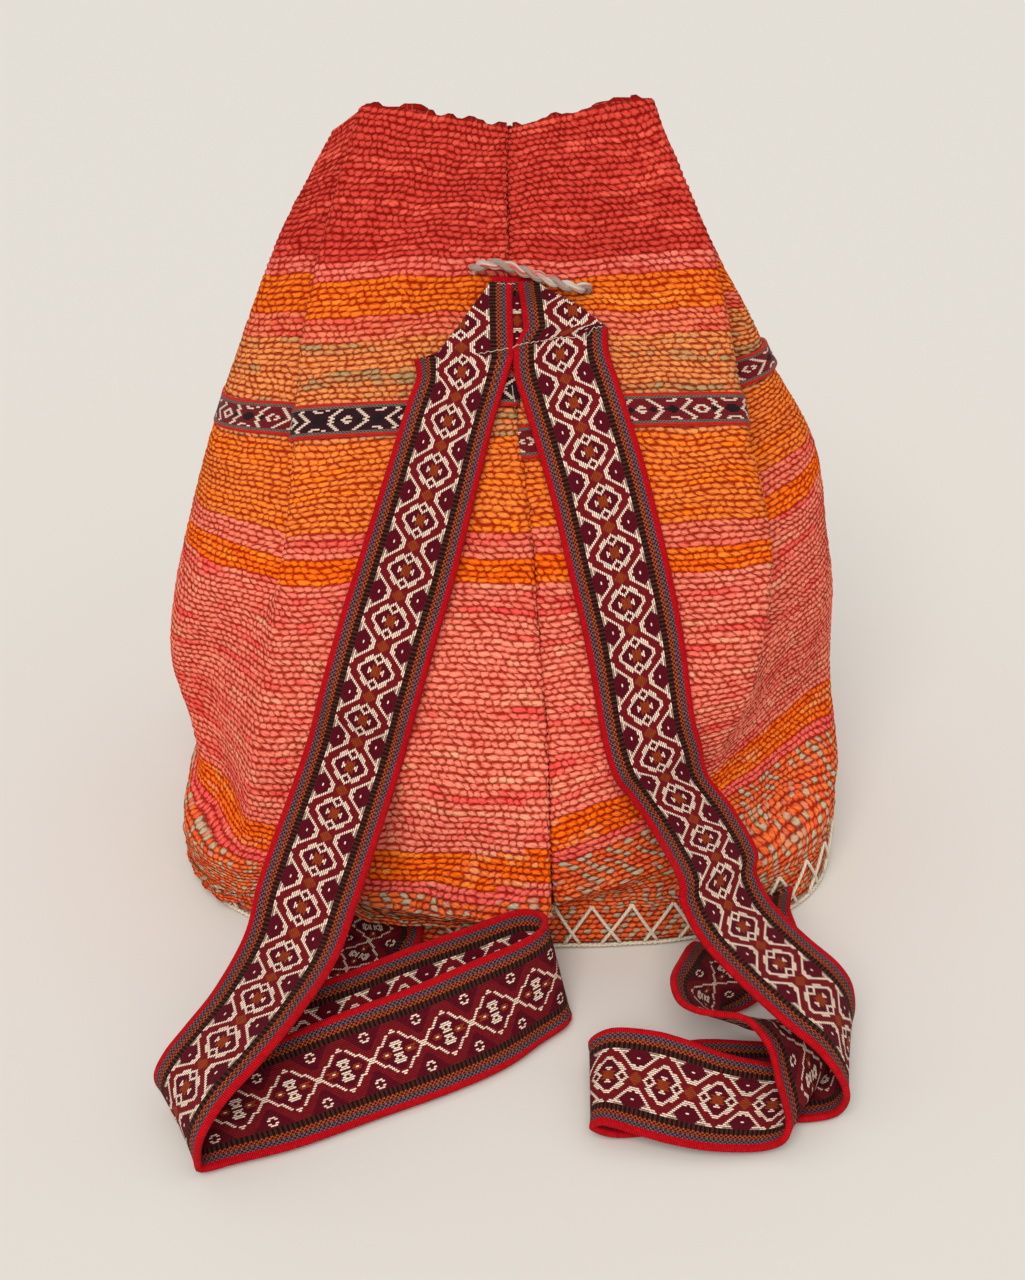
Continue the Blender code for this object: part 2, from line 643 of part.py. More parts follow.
def make_base_yarns(collection):
    """The zigzag lacing over the rim and the yarn that edges the underside."""
    cream = material("cream_yarn", (0.80, 0.70, 0.58), 0.9)
    lace = oval_outline(2 * LACE_STITCHES, LACE_DIAMETER / 2 + SEAT_GAP)
    points = [((x, y, LACE_HIGH if index % 2 else LACE_LOW), 1.0) for index, (x, y) in enumerate(lace)]
    add_cord("base_lacing", [(points, True)], LACE_DIAMETER, 0, collection, cream)
    edge = grow_loop(oval_outline(BASE_POINTS), EDGE_YARN_DIAMETER / 2 + SEAT_GAP)
    points = [((x, y, EDGE_YARN_DIAMETER / 2), 1.0) for x, y in edge]
    add_cord("base_edge_yarn", [(points, True)], EDGE_YARN_DIAMETER, 0, collection, cream)


def make_drawcord(collection, cutters, body):
    """The cord over the strap heads, its knotted ends inside the bag."""
    outside = []
    for x, row, lift in CORD_PATH:
        outside.append((laid_section(x, row, lift), 1.0))
    ends = []
    for x, row in (CORD_PATH[0][:2], CORD_PATH[-1][:2]):
        inward = -front_outward(x, row)
        start = front_point(x, row)
        ends.append([(start + inward * 0.008, 1.0), (start + inward * 0.0265, 1.0),
                     (start + inward * 0.029, 1.9), (start + inward * 0.033, 2.3),
                     (start + inward * 0.037, 1.9), (start + inward * 0.039, 0.8)])
        bpy.ops.mesh.primitive_cylinder_add(vertices=12, radius=CORD_DIAMETER / 2 + CORD_CLEARANCE,
                                            depth=0.036)
        cutter = bpy.context.active_object
        cutter.name = "cord_hole_cutter"
        cutter.location = Vector(start + inward * 0.008)
        cutter.rotation_euler = Vector(inward).to_track_quat("Z", "Y").to_euler()
        cutter.hide_render = True
        cutter.display_type = "WIRE"
        for holder in list(cutter.users_collection):
            holder.objects.unlink(cutter)
        cutters.objects.link(cutter)
        cut = body.modifiers.new("Cord hole", "BOOLEAN")
        cut.operation = "DIFFERENCE"
        cut.solver = "EXACT"
        cut.object = cutter
    points = ends[0][::-1] + outside + ends[1]
    add_cord("drawcord", [(points, False)], CORD_DIAMETER, 1, collection,
             material("grey_cord", (0.62, 0.52, 0.48), 0.9))


def main():
    remove_everything()
    collection = bpy.data.collections.new("backpack")
    bpy.context.scene.collection.children.link(collection)
    cutters = bpy.data.collections.new("cutters")
    bpy.context.scene.collection.children.link(cutters)
    body = make_body(collection)
    make_base(collection)
    make_base_yarns(collection)
    make_trim_band(collection)

    finishes = [material("strap_border", (0.16, 0.05, 0.06), 0.9),
                material("strap_pattern", (0.33, 0.05, 0.06), 0.9),
                material("strap_selvedge", (0.62, 0.01, 0.02), 0.85)]
    left = (head_sections(LEFT_HEAD, -1.0) + laid_sections(LEFT_LAID, -1.0) + free_sections(LEFT_FREE)
            + [rim_section(*LEFT_END, height) for height in END_HEIGHTS])
    right = (head_sections(RIGHT_HEAD, 1.0) + laid_sections(RIGHT_LAID, 1.0) + free_sections(RIGHT_FREE)
             + [rim_section(*RIGHT_END, height) for height in END_HEIGHTS])
    make_strap("shoulder_strap_left", left, collection, finishes, False)
    make_strap("shoulder_strap_right", right, collection, finishes, True)
    make_cross_piece(collection, finishes)
    make_drawcord(collection, cutters, body)


if __name__ == "__main__":
    main()
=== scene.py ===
"""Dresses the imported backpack: hand-woven wool, patterned tape straps, laced base and cord.

Sizes are in metres, +Z is up, and the face that carries the straps looks along -Y.
Coordinates of a weave are kept on each mesh's corners, and the materials read them.
"""
import math
from collections import namedtuple
from functools import cache

import bpy
import numpy as np
from bpy.props import FloatProperty, FloatVectorProperty, IntProperty, PointerProperty
from bpy.types import Operator, Panel, PropertyGroup
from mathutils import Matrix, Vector


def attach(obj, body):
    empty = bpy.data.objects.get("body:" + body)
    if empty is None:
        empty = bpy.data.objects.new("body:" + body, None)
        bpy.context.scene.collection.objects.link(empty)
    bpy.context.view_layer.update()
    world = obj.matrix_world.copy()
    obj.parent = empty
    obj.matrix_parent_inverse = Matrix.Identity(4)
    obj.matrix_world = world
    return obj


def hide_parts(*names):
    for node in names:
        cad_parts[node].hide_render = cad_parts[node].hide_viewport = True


bl_info = {
    "name": "Woven backpack",
    "version": (1, 0, 0),
    "blender": (4, 5, 0),
    "location": "View3D > Sidebar > Backpack",
    "description": "Builds a woven wool backpack round its packed solids",
    "category": "Object",
}

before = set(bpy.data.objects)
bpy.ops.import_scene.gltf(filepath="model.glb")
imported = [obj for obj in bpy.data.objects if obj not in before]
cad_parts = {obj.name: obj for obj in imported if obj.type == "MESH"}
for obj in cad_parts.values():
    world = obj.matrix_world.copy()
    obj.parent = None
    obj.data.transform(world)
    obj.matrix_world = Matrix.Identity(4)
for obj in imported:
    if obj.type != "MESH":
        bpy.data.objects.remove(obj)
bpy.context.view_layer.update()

# Sizes shared with the solids
CLOTH_THICK = 0.003
FOLD_SLACK = 0.0025
TUCK_GAP = 0.008
SEAT_GAP = 0.0003
FOLD = 2.0 * CLOTH_THICK + FOLD_SLACK
BASE_LENGTH = 0.352
BASE_DEPTH = 0.250
BASE_SQUARENESS = 3.0
BASE_RIM = 0.024
BAND_TOP = 0.151
BAND_WIDTH = 0.018
BAND_THICK = 0.0014
BAND_GAP = 0.0005
STRAP_WIDTH = 0.050
STRAP_THICK = 0.0022
STRAP_LIFT = 0.0038
RIM_LIFT = 0.0036
CORD_DIAMETER = 0.005
LACE_DIAMETER = 0.0018
LACE_STITCHES = 50
EDGE_YARN_DIAMETER = 0.0024
LACE_LOW = 0.0042
LACE_HIGH = 0.0265

# Detail of the scene's own: the tapes' borders and folds, the band's step at the pleat, the yarn's twist
STRAP_BORDER = 0.0095
SELVEDGE_WIDTH = 0.0036
SELVEDGE_ROLL = 0.0005
FOLD_STEP = 0.0015
BAND_ROLL = 0.0002
BAND_SLIP = 0.0135
EDGE_TWIST = 0.0052
# Roughly the way that the tapes' and the band's first sections face
TAPE_FACING = (0.0, -1.0, 0.3)
BAND_FACING = (-1.0, 0.0, 0.0)
# Lacing: the bow of the yarn that lies on top and of the one below, and how deep each stitch is tucked
LACE_GAP = 0.0004
LACE_BOWS = {1.0: 0.0009, -1.0: 0.0003}
LACE_TUCK = 0.0015

# Rows of the cloth, as distances down from the mouth
GUIDE_ROWS = (0.0, 0.08, 0.16, 0.24, 0.315, 0.38, 0.413)
NECK_ROW = 0.436
CLOTH_LENGTH = 0.445
NECK_RISE = 0.006

# Guide lines that the cloth hangs on, each a list of points (x, y, z) down the rows
FRONT_MIDDLE = (
    (-0.004, 0.065, 0.371), (-0.004, 0.020, 0.309), (0.001, -0.024, 0.252),
    (0.009, -0.069, 0.190), (0.014, -0.106, 0.129), (0.017, -0.136, 0.070),
    (0.018, -0.139, 0.036),
)
LEFT_RIDGE = (
    (-0.077, 0.068, 0.382), (-0.101, 0.022, 0.309), (-0.109, -0.022, 0.247),
    (-0.114, -0.065, 0.187), (-0.123, -0.095, 0.124), (-0.138, -0.098, 0.053),
    (-0.142, -0.110, 0.037),
)
RIGHT_RIDGE = (
    (0.071, 0.068, 0.386), (0.103, 0.022, 0.314), (0.115, -0.022, 0.255),
    (0.128, -0.060, 0.196), (0.118, -0.095, 0.137), (0.098, -0.103, 0.086),
    (0.101, -0.113, 0.059),
)
LEFT_SIDE = (
    (-0.094, 0.090, 0.363), (-0.129, 0.050, 0.301), (-0.155, 0.025, 0.235),
    (-0.175, 0.010, 0.175), (-0.184, 0.000, 0.110), (-0.173, -0.005, 0.050),
    (-0.182, -0.020, 0.031),
)
RIGHT_SIDE = (
    (0.068, 0.090, 0.369), (0.109, 0.055, 0.303), (0.134, 0.035, 0.264),
    (0.164, 0.030, 0.210), (0.176, 0.020, 0.143), (0.179, 0.000, 0.082),
    (0.180, -0.020, 0.049),
)
BACK_MIDDLE = (
    (-0.004, 0.115, 0.358), (-0.003, 0.124, 0.292), (0.000, 0.132, 0.230),
    (0.000, 0.137, 0.176), (0.000, 0.141, 0.124), (0.000, 0.139, 0.078),
    (0.000, 0.134, 0.050),
)

# Pleats, each a list of depths down the same rows
FRONT_PLEAT_REACH = (0.036, 0.036, 0.032, 0.026, 0.020, 0.012, 0.004)
FRONT_PLEAT_FULL = (1.0, 1.0, 1.0, 1.0, 1.0, 1.0, 0.8)
BACK_PLEAT_REACH = (0.045, 0.045, 0.035, 0.022, 0.008, 0.000, 0.000)
BACK_PLEAT_FULL = (1.0, 1.0, 1.0, 1.0, 1.0, 0.7, 0.3)
LEFT_FOLD_REACH = (0.032, 0.034, 0.026, 0.010, 0.000, 0.000, 0.000)
LEFT_FOLD_BEHIND = (0.016, 0.016, 0.014, 0.010, 0.004, 0.003, 0.003)
RIGHT_FOLD_REACH = (0.028, 0.034, 0.034, 0.024, 0.006, 0.000, 0.000)
RIGHT_FOLD_BEHIND = (0.018, 0.026, 0.040, 0.036, 0.020, 0.006, 0.003)
SIDE_BULGE_LEFT = (0.000, 0.003, 0.006, 0.010, 0.014, 0.010, 0.012)
SIDE_BULGE_RIGHT = (0.000, 0.003, 0.006, 0.008, 0.008, 0.002, 0.012)
PANEL_BULGE = (0.002, 0.003, 0.004, 0.005, 0.006, 0.005, 0.004)
LIP_GAP = 0.0023
LEFT_LIP_OVER = -0.0021
RIGHT_LIP_OVER = 0.0022
BACK_LIP_OVER = 0.0004
LEFT_LIP_FORWARD = (0.001, 0.002, 0.002, 0.002, 0.003, 0.005, 0.006)
LEFT_LIP_DROP = (0.000, 0.000, 0.000, 0.000, 0.001, 0.002, 0.002)
LEVEL = (0.0,) * len(GUIDE_ROWS)
# How far in a lip keeps its round, and the reach from which a side fold hides the cloth behind it
LIP_ROUND = 0.0024
FOLD_HIDES = 0.012

# The body's halves: the way out, the guide lines, the side fold, and how the front lip lies
Half = namedtuple("Half", "way ridge flank reach behind bulge lip_over lip_forward lip_drop")
LEFT_HALF = Half(-1.0, LEFT_RIDGE, LEFT_SIDE, LEFT_FOLD_REACH, LEFT_FOLD_BEHIND, SIDE_BULGE_LEFT,
                 LEFT_LIP_OVER, LEFT_LIP_FORWARD, LEFT_LIP_DROP)
RIGHT_HALF = Half(1.0, RIGHT_RIDGE, RIGHT_SIDE, RIGHT_FOLD_REACH, RIGHT_FOLD_BEHIND, SIDE_BULGE_RIGHT,
                  RIGHT_LIP_OVER, LEVEL, LEVEL)

# Where the straps' heads and runs lie on the front, as places across and rows down
LEFT_HEAD = ((-0.0010, 0.0866, 0.0100), (-0.0010, 0.0915, 0.0128), (-0.0008, 0.1080, 0.0236),
             (-0.0003, 0.1262, 0.0358))
RIGHT_HEAD = ((0.0031, 0.0862, 0.0098), (0.0031, 0.0900, 0.0130), (0.0045, 0.1000, 0.0262),
              (0.0058, 0.1125, 0.0385))
LEFT_TOP = ((-0.0003, 0.1285), (-0.0478, 0.1300))
RIGHT_TOP = ((0.0008, 0.1240), (0.0466, 0.1148))
LEFT_LAID = ((-0.0265, 0.146), (-0.0310, 0.1615), (-0.0415, 0.203), (-0.0525, 0.245), (-0.0600, 0.271),
             (-0.0700, 0.308), (-0.0785, 0.338))
RIGHT_LAID = ((0.0243, 0.134), (0.0295, 0.153), (0.0410, 0.195), (0.0505, 0.238), (0.0590, 0.280),
              (0.0655, 0.325), (0.0700, 0.346))
RIGHT_BEND = (((0.0971, -0.1101, 0.0965), (0.0571, -0.1307, 0.0987)),
              ((0.1095, -0.1183, 0.0823), (0.0692, -0.1403, 0.0836)),
              ((0.1194, -0.1409, 0.0732), (0.0795, -0.1722, 0.0789)))

# Edges of the straps off the bag, outer then inner, from the bag down to the loops on the floor
LEFT_FREE = (
    ((-0.120, -0.163, 0.076), (-0.074, -0.184, 0.072)), ((-0.126, -0.186, 0.058), (-0.082, -0.209, 0.061)),
    ((-0.137, -0.213, 0.048), (-0.096, -0.241, 0.057)), ((-0.149, -0.230, 0.040), (-0.111, -0.262, 0.049)),
    ((-0.158, -0.237, 0.031), (-0.126, -0.275, 0.038)), ((-0.163, -0.241, 0.021), (-0.136, -0.283, 0.024)),
    ((-0.161, -0.240, 0.011), (-0.139, -0.284, 0.010)), ((-0.152, -0.236, 0.009), (-0.137, -0.283, 0.003)),
    ((-0.138, -0.232, 0.015), (-0.123, -0.277, 0.002)), ((-0.116, -0.227, 0.024), (-0.096, -0.267, 0.002)),
    ((-0.080, -0.218, 0.036), (-0.062, -0.249, 0.002)), ((-0.046, -0.202, 0.039), (-0.029, -0.232, 0.002)),
    ((-0.020, -0.186, 0.040), (-0.004, -0.216, 0.002)), ((0.003, -0.172, 0.041), (0.013, -0.199, 0.002)),
    ((0.014, -0.160, 0.041), (0.025, -0.187, 0.002)), ((0.013, -0.150, 0.041), (0.025, -0.177, 0.002)),
    ((0.002, -0.148, 0.041), (0.011, -0.175, 0.002)), ((-0.021, -0.161, 0.041), (-0.011, -0.188, 0.002)),
    ((-0.052, -0.177, 0.040), (-0.043, -0.205, 0.002)), ((-0.080, -0.191, 0.037), (-0.070, -0.222, 0.002)),
    ((-0.104, -0.197, 0.033), (-0.092, -0.233, 0.002)), ((-0.121, -0.190, 0.030), (-0.108, -0.229, 0.002)),
    ((-0.126, -0.174, 0.026), (-0.107, -0.214, 0.002)), ((-0.118, -0.158, 0.018), (-0.086, -0.192, 0.003)),
    ((-0.105, -0.142, 0.009), (-0.062, -0.164, 0.004)),
)
RIGHT_FREE = (
    ((0.119, -0.146, 0.064), (0.081, -0.178, 0.069)), ((0.126, -0.159, 0.055), (0.089, -0.193, 0.060)),
    ((0.140, -0.178, 0.050), (0.106, -0.214, 0.052)), ((0.154, -0.193, 0.045), (0.124, -0.233, 0.045)),
    ((0.161, -0.197, 0.033), (0.140, -0.243, 0.036)), ((0.161, -0.200, 0.016), (0.152, -0.249, 0.019)),
    ((0.149, -0.198, 0.004), (0.150, -0.248, 0.004)), ((0.135, -0.202, 0.002), (0.138, -0.251, 0.002)),
    ((0.114, -0.202, 0.003), (0.117, -0.252, 0.002)), ((0.088, -0.204, 0.006), (0.093, -0.253, 0.002)),
    ((0.062, -0.209, 0.004), (0.067, -0.259, 0.002)), ((0.042, -0.212, 0.005), (0.046, -0.262, 0.003)),
    ((0.036, -0.214, 0.016), (0.035, -0.262, 0.008)), ((0.046, -0.216, 0.026), (0.040, -0.264, 0.014)),
    ((0.065, -0.222, 0.030), (0.055, -0.267, 0.011)), ((0.081, -0.225, 0.027), (0.071, -0.271, 0.009)),
    ((0.100, -0.227, 0.020), (0.090, -0.273, 0.007)), ((0.126, -0.227, 0.014), (0.113, -0.271, 0.006)),
    ((0.147, -0.222, 0.011), (0.122, -0.266, 0.013)), ((0.149, -0.208, 0.021), (0.119, -0.247, 0.023)),
    ((0.144, -0.198, 0.018), (0.117, -0.238, 0.030)), ((0.137, -0.195, 0.014), (0.113, -0.233, 0.036)),
    ((0.129, -0.193, 0.007), (0.106, -0.224, 0.038)), ((0.120, -0.192, 0.003), (0.095, -0.219, 0.036)),
    ((0.112, -0.188, 0.002), (0.085, -0.214, 0.034)), ((0.107, -0.183, 0.002), (0.077, -0.206, 0.034)),
    ((0.106, -0.177, 0.002), (0.075, -0.193, 0.037)), ((0.120, -0.169, 0.002), (0.082, -0.173, 0.034)),
    ((0.136, -0.150, 0.003), (0.090, -0.149, 0.020)), ((0.147, -0.126, 0.003), (0.102, -0.140, 0.009)),
)

# The straps' ends are turned up against the rim: outer and inner places across, and heights
LEFT_END = (-0.096, -0.047)
RIGHT_END = (0.1425, 0.0965)
END_HEIGHTS = (0.006, 0.020)

# The short piece under the heads: its first and last row, its two ends, and its gap to the cloth
CROSS_ROWS = (0.083, 0.132)
CROSS_PLACES = (-0.0105, 0.0125)
CROSS_LIFT = 0.0011

# Drawcord: place across, row and height of its middle above the cloth
CORD_PATH = ((-0.019, 0.078, 0.003), (-0.015, 0.0779, 0.0075), (-0.0085, 0.0776, 0.0085),
             (-0.0015, 0.0789, 0.0085), (0.0062, 0.0818, 0.0085), (0.0165, 0.0862, 0.0085),
             (0.0270, 0.0908, 0.0080), (0.0330, 0.0920, 0.0070), (0.037, 0.0905, 0.003))
CORD_HOLES = (CORD_PATH[0][:2], CORD_PATH[-1][:2])
CORD_TWIST = 0.015
# Depths behind the front that the cord runs through to its knots, and each knot's own place and size
CORD_DEPTHS = (0.001, 0.009, 0.018, 0.0265)
KNOT_DEPTH = 0.0285
KNOT_LENGTH = 0.0065
KNOT_RADIUS = 0.003
KNOT_TURNS = 1.75

# Sewing threads on the heads, each a run of places across and rows down
THREAD_RADIUS = 0.00018
THREAD_RUNS = (
    ((-0.0178, 0.1276), (-0.0103, 0.1260), (-0.0002, 0.1240), (0.0015, 0.1228), (0.0071, 0.1216),
     (0.0140, 0.1208)),
    ((0.0140, 0.1208), (0.0247, 0.1192), (0.0364, 0.1204), (0.0399, 0.1149), (0.0451, 0.1141)),
    ((-0.0081, 0.0873), (-0.0035, 0.0878), (0.0016, 0.0873)),
    ((-0.0005, 0.1453), (0.0000, 0.1503), (0.0010, 0.1547)),
)

# Weave of the body's cloth: length of a bead of weft, its pitch down the cloth, and its relief
BEAD_LENGTH = 0.0042
WEFT_PITCH = 0.0033
BEADS_ROUND = 260
BEAD_ROWS = 135
BEAD_RELIEF = 0.0011

# Points of the meshes: columns round the body and the base, rows inside, and the steps along tapes and cord
COLUMNS_ROUND = 336
BASE_COLUMNS = 312
INNER_ROWS = 22
TAPE_STEP = 0.003
CORD_STEP = 0.0012

# Weave of the tapes: width of a warp thread, length of its float, and the pattern's repeat
THREAD = 0.00093
PICK = 0.0016
REPEAT = 16 * PICK

# The foot of the cloth: how far the lap hangs over the base, and by how many rows the stripes are off
LAP_FORWARD = 0.009
LAP_DOWN = 0.004
LEFT_SLIP = 3.0
LEFT_SLIP_AT_PLEAT = 1.2
RIGHT_SLIP = 2.3
# The sag of the front left corner: its lowest point, how far it goes, and the rows it takes with it
SAG_FLOOR = 0.0045
SAG_MOST = 0.019
SAG_ROWS = 5.0

# Tints of the wool: red flecks in the mixed foot, worn fibre, painted shade for the gaps between beads, and
# painted highlight for their crowns
RED_FLECK = (0.80, 0.045, 0.02)
DUST = (0.82, 0.45, 0.24)
PAINTED_GAP_SHADE = (0.46, 0.11, 0.08)
PAINTED_HIGHLIGHT_TINT = (1.15, 1.35, 1.40)

# The body's stripes: where each starts down the cloth in centimetres, with its two yarns, ground then fleck
STRIPE_SPAN = 44.5
DUST_FROM = 24.8
MIXED_FROM = 39.6
STRIPES = (
    (0.0, (0.64, 0.052, 0.034), (0.82, 0.100, 0.062)), (7.2, (0.83, 0.120, 0.080), (0.88, 0.190, 0.130)),
    (8.3, (0.88, 0.155, 0.012), (0.95, 0.230, 0.025)), (10.0, (0.88, 0.185, 0.090), (0.76, 0.080, 0.045)),
    (11.3, (0.82, 0.250, 0.070), (0.42, 0.250, 0.105)), (16.9, (0.90, 0.205, 0.032), (0.97, 0.190, 0.010)),
    (22.0, (0.92, 0.200, 0.115), (0.84, 0.100, 0.065)), (23.3, (0.97, 0.145, 0.006), (0.97, 0.215, 0.018)),
    (24.8, (0.95, 0.215, 0.135), (0.88, 0.080, 0.062)), (37.2, (0.97, 0.140, 0.006), (0.97, 0.210, 0.018)),
    (38.8, (0.93, 0.130, 0.092), (0.84, 0.080, 0.070)), (39.6, (0.90, 0.160, 0.038), (0.52, 0.370, 0.225)),
)
GROUNDS = [(start / STRIPE_SPAN, ground) for start, ground, fleck in STRIPES]
FLECKS = [(start / STRIPE_SPAN, fleck) for start, ground, fleck in STRIPES]

# Colours of the tapes' other threads: the darker ground, rust flecks and the band's own pale and black
TAPE_DEEP = (0.100, 0.004, 0.011)
TAPE_RUST = (0.27, 0.038, 0.010)
BAND_PALE = (0.80, 0.60, 0.46)
BAND_BLACK = (0.016, 0.007, 0.009)
BAND_DEEP = (0.035, 0.006, 0.010)
BAND_EDGE = (0.56, 0.020, 0.010)
# Borders of a tape: where each starts from its middle in millimetres, and its threads' two colours
TAPE_BORDERS = (
    (14.3, (0.016, 0.006, 0.005), (0.075, 0.022, 0.014)),
    (17.4, (0.50, 0.085, 0.022), (0.055, 0.006, 0.008)),
    (19.8, (0.025, 0.012, 0.040), (0.21, 0.115, 0.095)),
)
SELVEDGE_FROM = 22.4
BAND_DOTS = (6.1, (0.045, 0.030, 0.050), (0.24, 0.18, 0.12))
BAND_SELVEDGE_FROM = 7.5
# Where along the band its ground changes, in metres from the left fold
BAND_CHANGE = 1.07

# Colours of the cord: its two plies, and the flecks in them
CORD_PLIES = ((0.36, 0.25, 0.20), (0.52, 0.38, 0.29))
CORD_WHITE = (0.62, 0.52, 0.45)
CORD_PINK = (0.58, 0.12, 0.10)

# Stage, with the photograph's own view: place in metres, tilt in degrees and lens in millimetres
CAMERA_PLACE = (0.0, -0.869, 0.612)
CAMERA_TILT = 60.0
CAMERA_LENS = 51.834
CAMERA_SENSOR = 36.0
FLOOR_REACH = 20.0
FLOOR_DROP = 0.0004
KEY_DIRECTION = (0.14, 0.66, -0.74)
KEY_SPREAD = 40.0
KEY_STRENGTH = 1.90
KEY_COLOUR = (1.0, 0.975, 0.94)
SKY_STRENGTH = 0.64
SKY_COLOUR = (0.96, 0.98, 1.0, 1.0)
BACKDROP_STRENGTH = 1.05


# Guide lines and rows of the cloth


def row_slopes(values):
    """Slope of a guide at each of its rows, for a smooth curve through them."""
    rows = np.array(GUIDE_ROWS)
    values = np.array(values, dtype=float)
    steps = np.diff(rows)
    rises = (np.diff(values, axis=0).T / steps).T
    slopes = np.empty_like(values)
    slopes[0] = rises[0]
    slopes[-1] = rises[-1]
    for index in range(1, len(rows) - 1):
        before = steps[index - 1]
        after = steps[index]
        slopes[index] = (rises[index - 1] * after + rises[index] * before) / (before + after)
    return slopes


def guide(values, row):
    """Value of a guide at a distance down the cloth, on a smooth curve through its rows."""
    rows = GUIDE_ROWS
    row = min(max(row, rows[0]), rows[-1])
    index = 0
    while index < len(rows) - 2 and row > rows[index + 1]:
        index += 1
    step = rows[index + 1] - rows[index]
    t = (row - rows[index]) / step
    slopes = row_slopes(values)
    start = np.array(values[index], dtype=float)
    end = np.array(values[index + 1], dtype=float)
    return ((2 * t ** 3 - 3 * t ** 2 + 1) * start + (t ** 3 - 2 * t ** 2 + t) * step * slopes[index]
            + (3 * t ** 2 - 2 * t ** 3) * end + (t ** 3 - t ** 2) * step * slopes[index + 1])


def inward_of(values, row):
    """Direction straight into the bag, square to a guide line that runs down its front."""
    reach = 0.012
    run = guide(values, row + reach) - guide(values, row - reach)
    inward = np.array((0.0, -run[2], run[1]))
    return inward / np.linalg.norm(inward)


def mix(a, b, share):
    """A value between two others, at a share of the way."""
    return a + (b - a) * share


def closed_line(line):
    """A line of points with its first one repeated at its end."""
    return np.vstack((line, line[:1]))


def walked(line):
    """The distance along a line at each of its points."""
    return np.concatenate(((0.0,), np.cumsum(np.linalg.norm(np.diff(line, axis=0), axis=1))))


def at_distances(targets, walk, line):
    """Points of a line at distances along it."""
    return np.column_stack([np.interp(targets, walk, line[:, axis]) for axis in range(line.shape[1])])


def oval(angle):
    """Point of the base's outline at an angle."""
    power = 2.0 / BASE_SQUARENESS
    cosine = math.cos(angle)
    sine = math.sin(angle)
    return np.array((BASE_LENGTH / 2 * math.copysign(abs(cosine) ** power, cosine),
                     BASE_DEPTH / 2 * math.copysign(abs(sine) ** power, sine)))


def oval_outline(count):
    """Points of the base's outline, evenly spaced along it."""
    steps = 1440
    fine = np.array([oval(2 * math.pi * step / steps) for step in range(steps + 1)])
    walk = walked(fine)
    return at_distances(np.linspace(0.0, walk[-1], count + 1)[:-1], walk, fine)


def grow_loop(loop, margin):
    """Flat closed outline moved straight outwards at each of its points."""
    run = np.roll(loop, -1, axis=0) - np.roll(loop, 1, axis=0)
    outward = np.column_stack((run[:, 1], -run[:, 0]))
    return loop + outward / np.linalg.norm(outward, axis=1)[:, None] * margin


def half_section(row, half):
    """Control points of one half of a row, from the front pleat round to the back pleat."""
    ridge = guide(half.ridge, row)
    flank = guide(half.flank, row)
    reach = guide(half.reach, row)
    behind = guide(half.behind, row)
    middle = guide(FRONT_MIDDLE, row)
    back = guide(BACK_MIDDLE, row)
    out = np.array((half.way, 0.0, 0.0))
    inward = inward_of(FRONT_MIDDLE, row)
    tucked = inward_of(half.ridge, row)
    rearward = np.array((0.0, 1.0, 0.0))
    up = np.array((0.0, 0.0, 1.0))

    full = guide(FRONT_PLEAT_FULL, row)
    pleat = guide(FRONT_PLEAT_REACH, row)
    lip = middle + out * half.lip_over
    lip = lip - inward * guide(half.lip_forward, row) - up * guide(half.lip_drop, row)
    under = inward * FOLD * full
    deep = inward * (FOLD + TUCK_GAP) * full
    points = [
        middle + out * (LIP_GAP + pleat) + deep,
        middle + out * (LIP_GAP + pleat) + under,
        lip + under,
        lip + inward * LIP_ROUND,
        lip,
    ]

    puff = inward * guide(PANEL_BULGE, row)
    points += [
        mix(lip, ridge, 0.035),
        mix(lip, ridge, 0.15) - puff * 0.4,
        mix(lip, ridge, 0.50) - puff,
        mix(lip, ridge, 0.85) - puff * 0.5,
        ridge,
    ]

    # A fold weight of one hides the cloth behind the ridge, and zero runs it straight on
    weight = min(1.0, reach / FOLD_HIDES)
    emerge = ridge + rearward * behind + up * (flank[2] - ridge[2]) * 0.3
    straight = [mix(ridge, flank, share) for share in (0.12, 0.26, 0.40, 0.55)]
    folded = [
        ridge + tucked * FOLD,
        ridge + tucked * FOLD - out * reach,
        ridge + tucked * (FOLD + TUCK_GAP) + rearward * max(0.0, behind - FOLD - TUCK_GAP) - out * reach,
        emerge,
    ]
    points += [mix(a, b, weight) for a, b in zip(straight, folded)]
    swell = (out - rearward) * guide(half.bulge, row) * 0.7
    points.append(mix(points[-1], flank, 0.55) + swell)
    points.append(flank)

    corner = np.array((mix(back[0], flank[0], 0.88), mix(flank[1], back[1], 0.72),
                       mix(flank[2], back[2], 0.7)))
    turn = np.array((mix(back[0], flank[0], 0.62), back[1] + 0.001, mix(flank[2], back[2], 0.9)))
    points += [mix(flank, corner, 0.45) + out * 0.002, corner, turn]

    back_full = guide(BACK_PLEAT_FULL, row)
    back_reach = guide(BACK_PLEAT_REACH, row)
    back_lip = back + out * BACK_LIP_OVER
    back_under = -rearward * FOLD * back_full
    back_deep = -rearward * (FOLD + TUCK_GAP) * back_full
    points += [
        mix(turn, back_lip, 0.6),
        mix(turn, back_lip, 0.96),
        back_lip,
        back_lip - rearward * LIP_ROUND * back_full,
        back_lip + back_under,
        back + out * (LIP_GAP + back_reach) + back_under,
        back + out * (LIP_GAP + back_reach) + back_deep,
    ]
    return points


def row_control(row):
    """Closed loop of control points for one row of the cloth."""
    middle = guide(FRONT_MIDDLE, row)
    back = guide(BACK_MIDDLE, row)
    deep = FOLD + TUCK_GAP
    front = middle + inward_of(FRONT_MIDDLE, row) * deep * guide(FRONT_PLEAT_FULL, row)
    rear = back - np.array((0.0, deep * guide(BACK_PLEAT_FULL, row), 0.0))
    return np.array([front] + half_section(row, LEFT_HALF) + [rear] + half_section(row, RIGHT_HALF)[::-1])


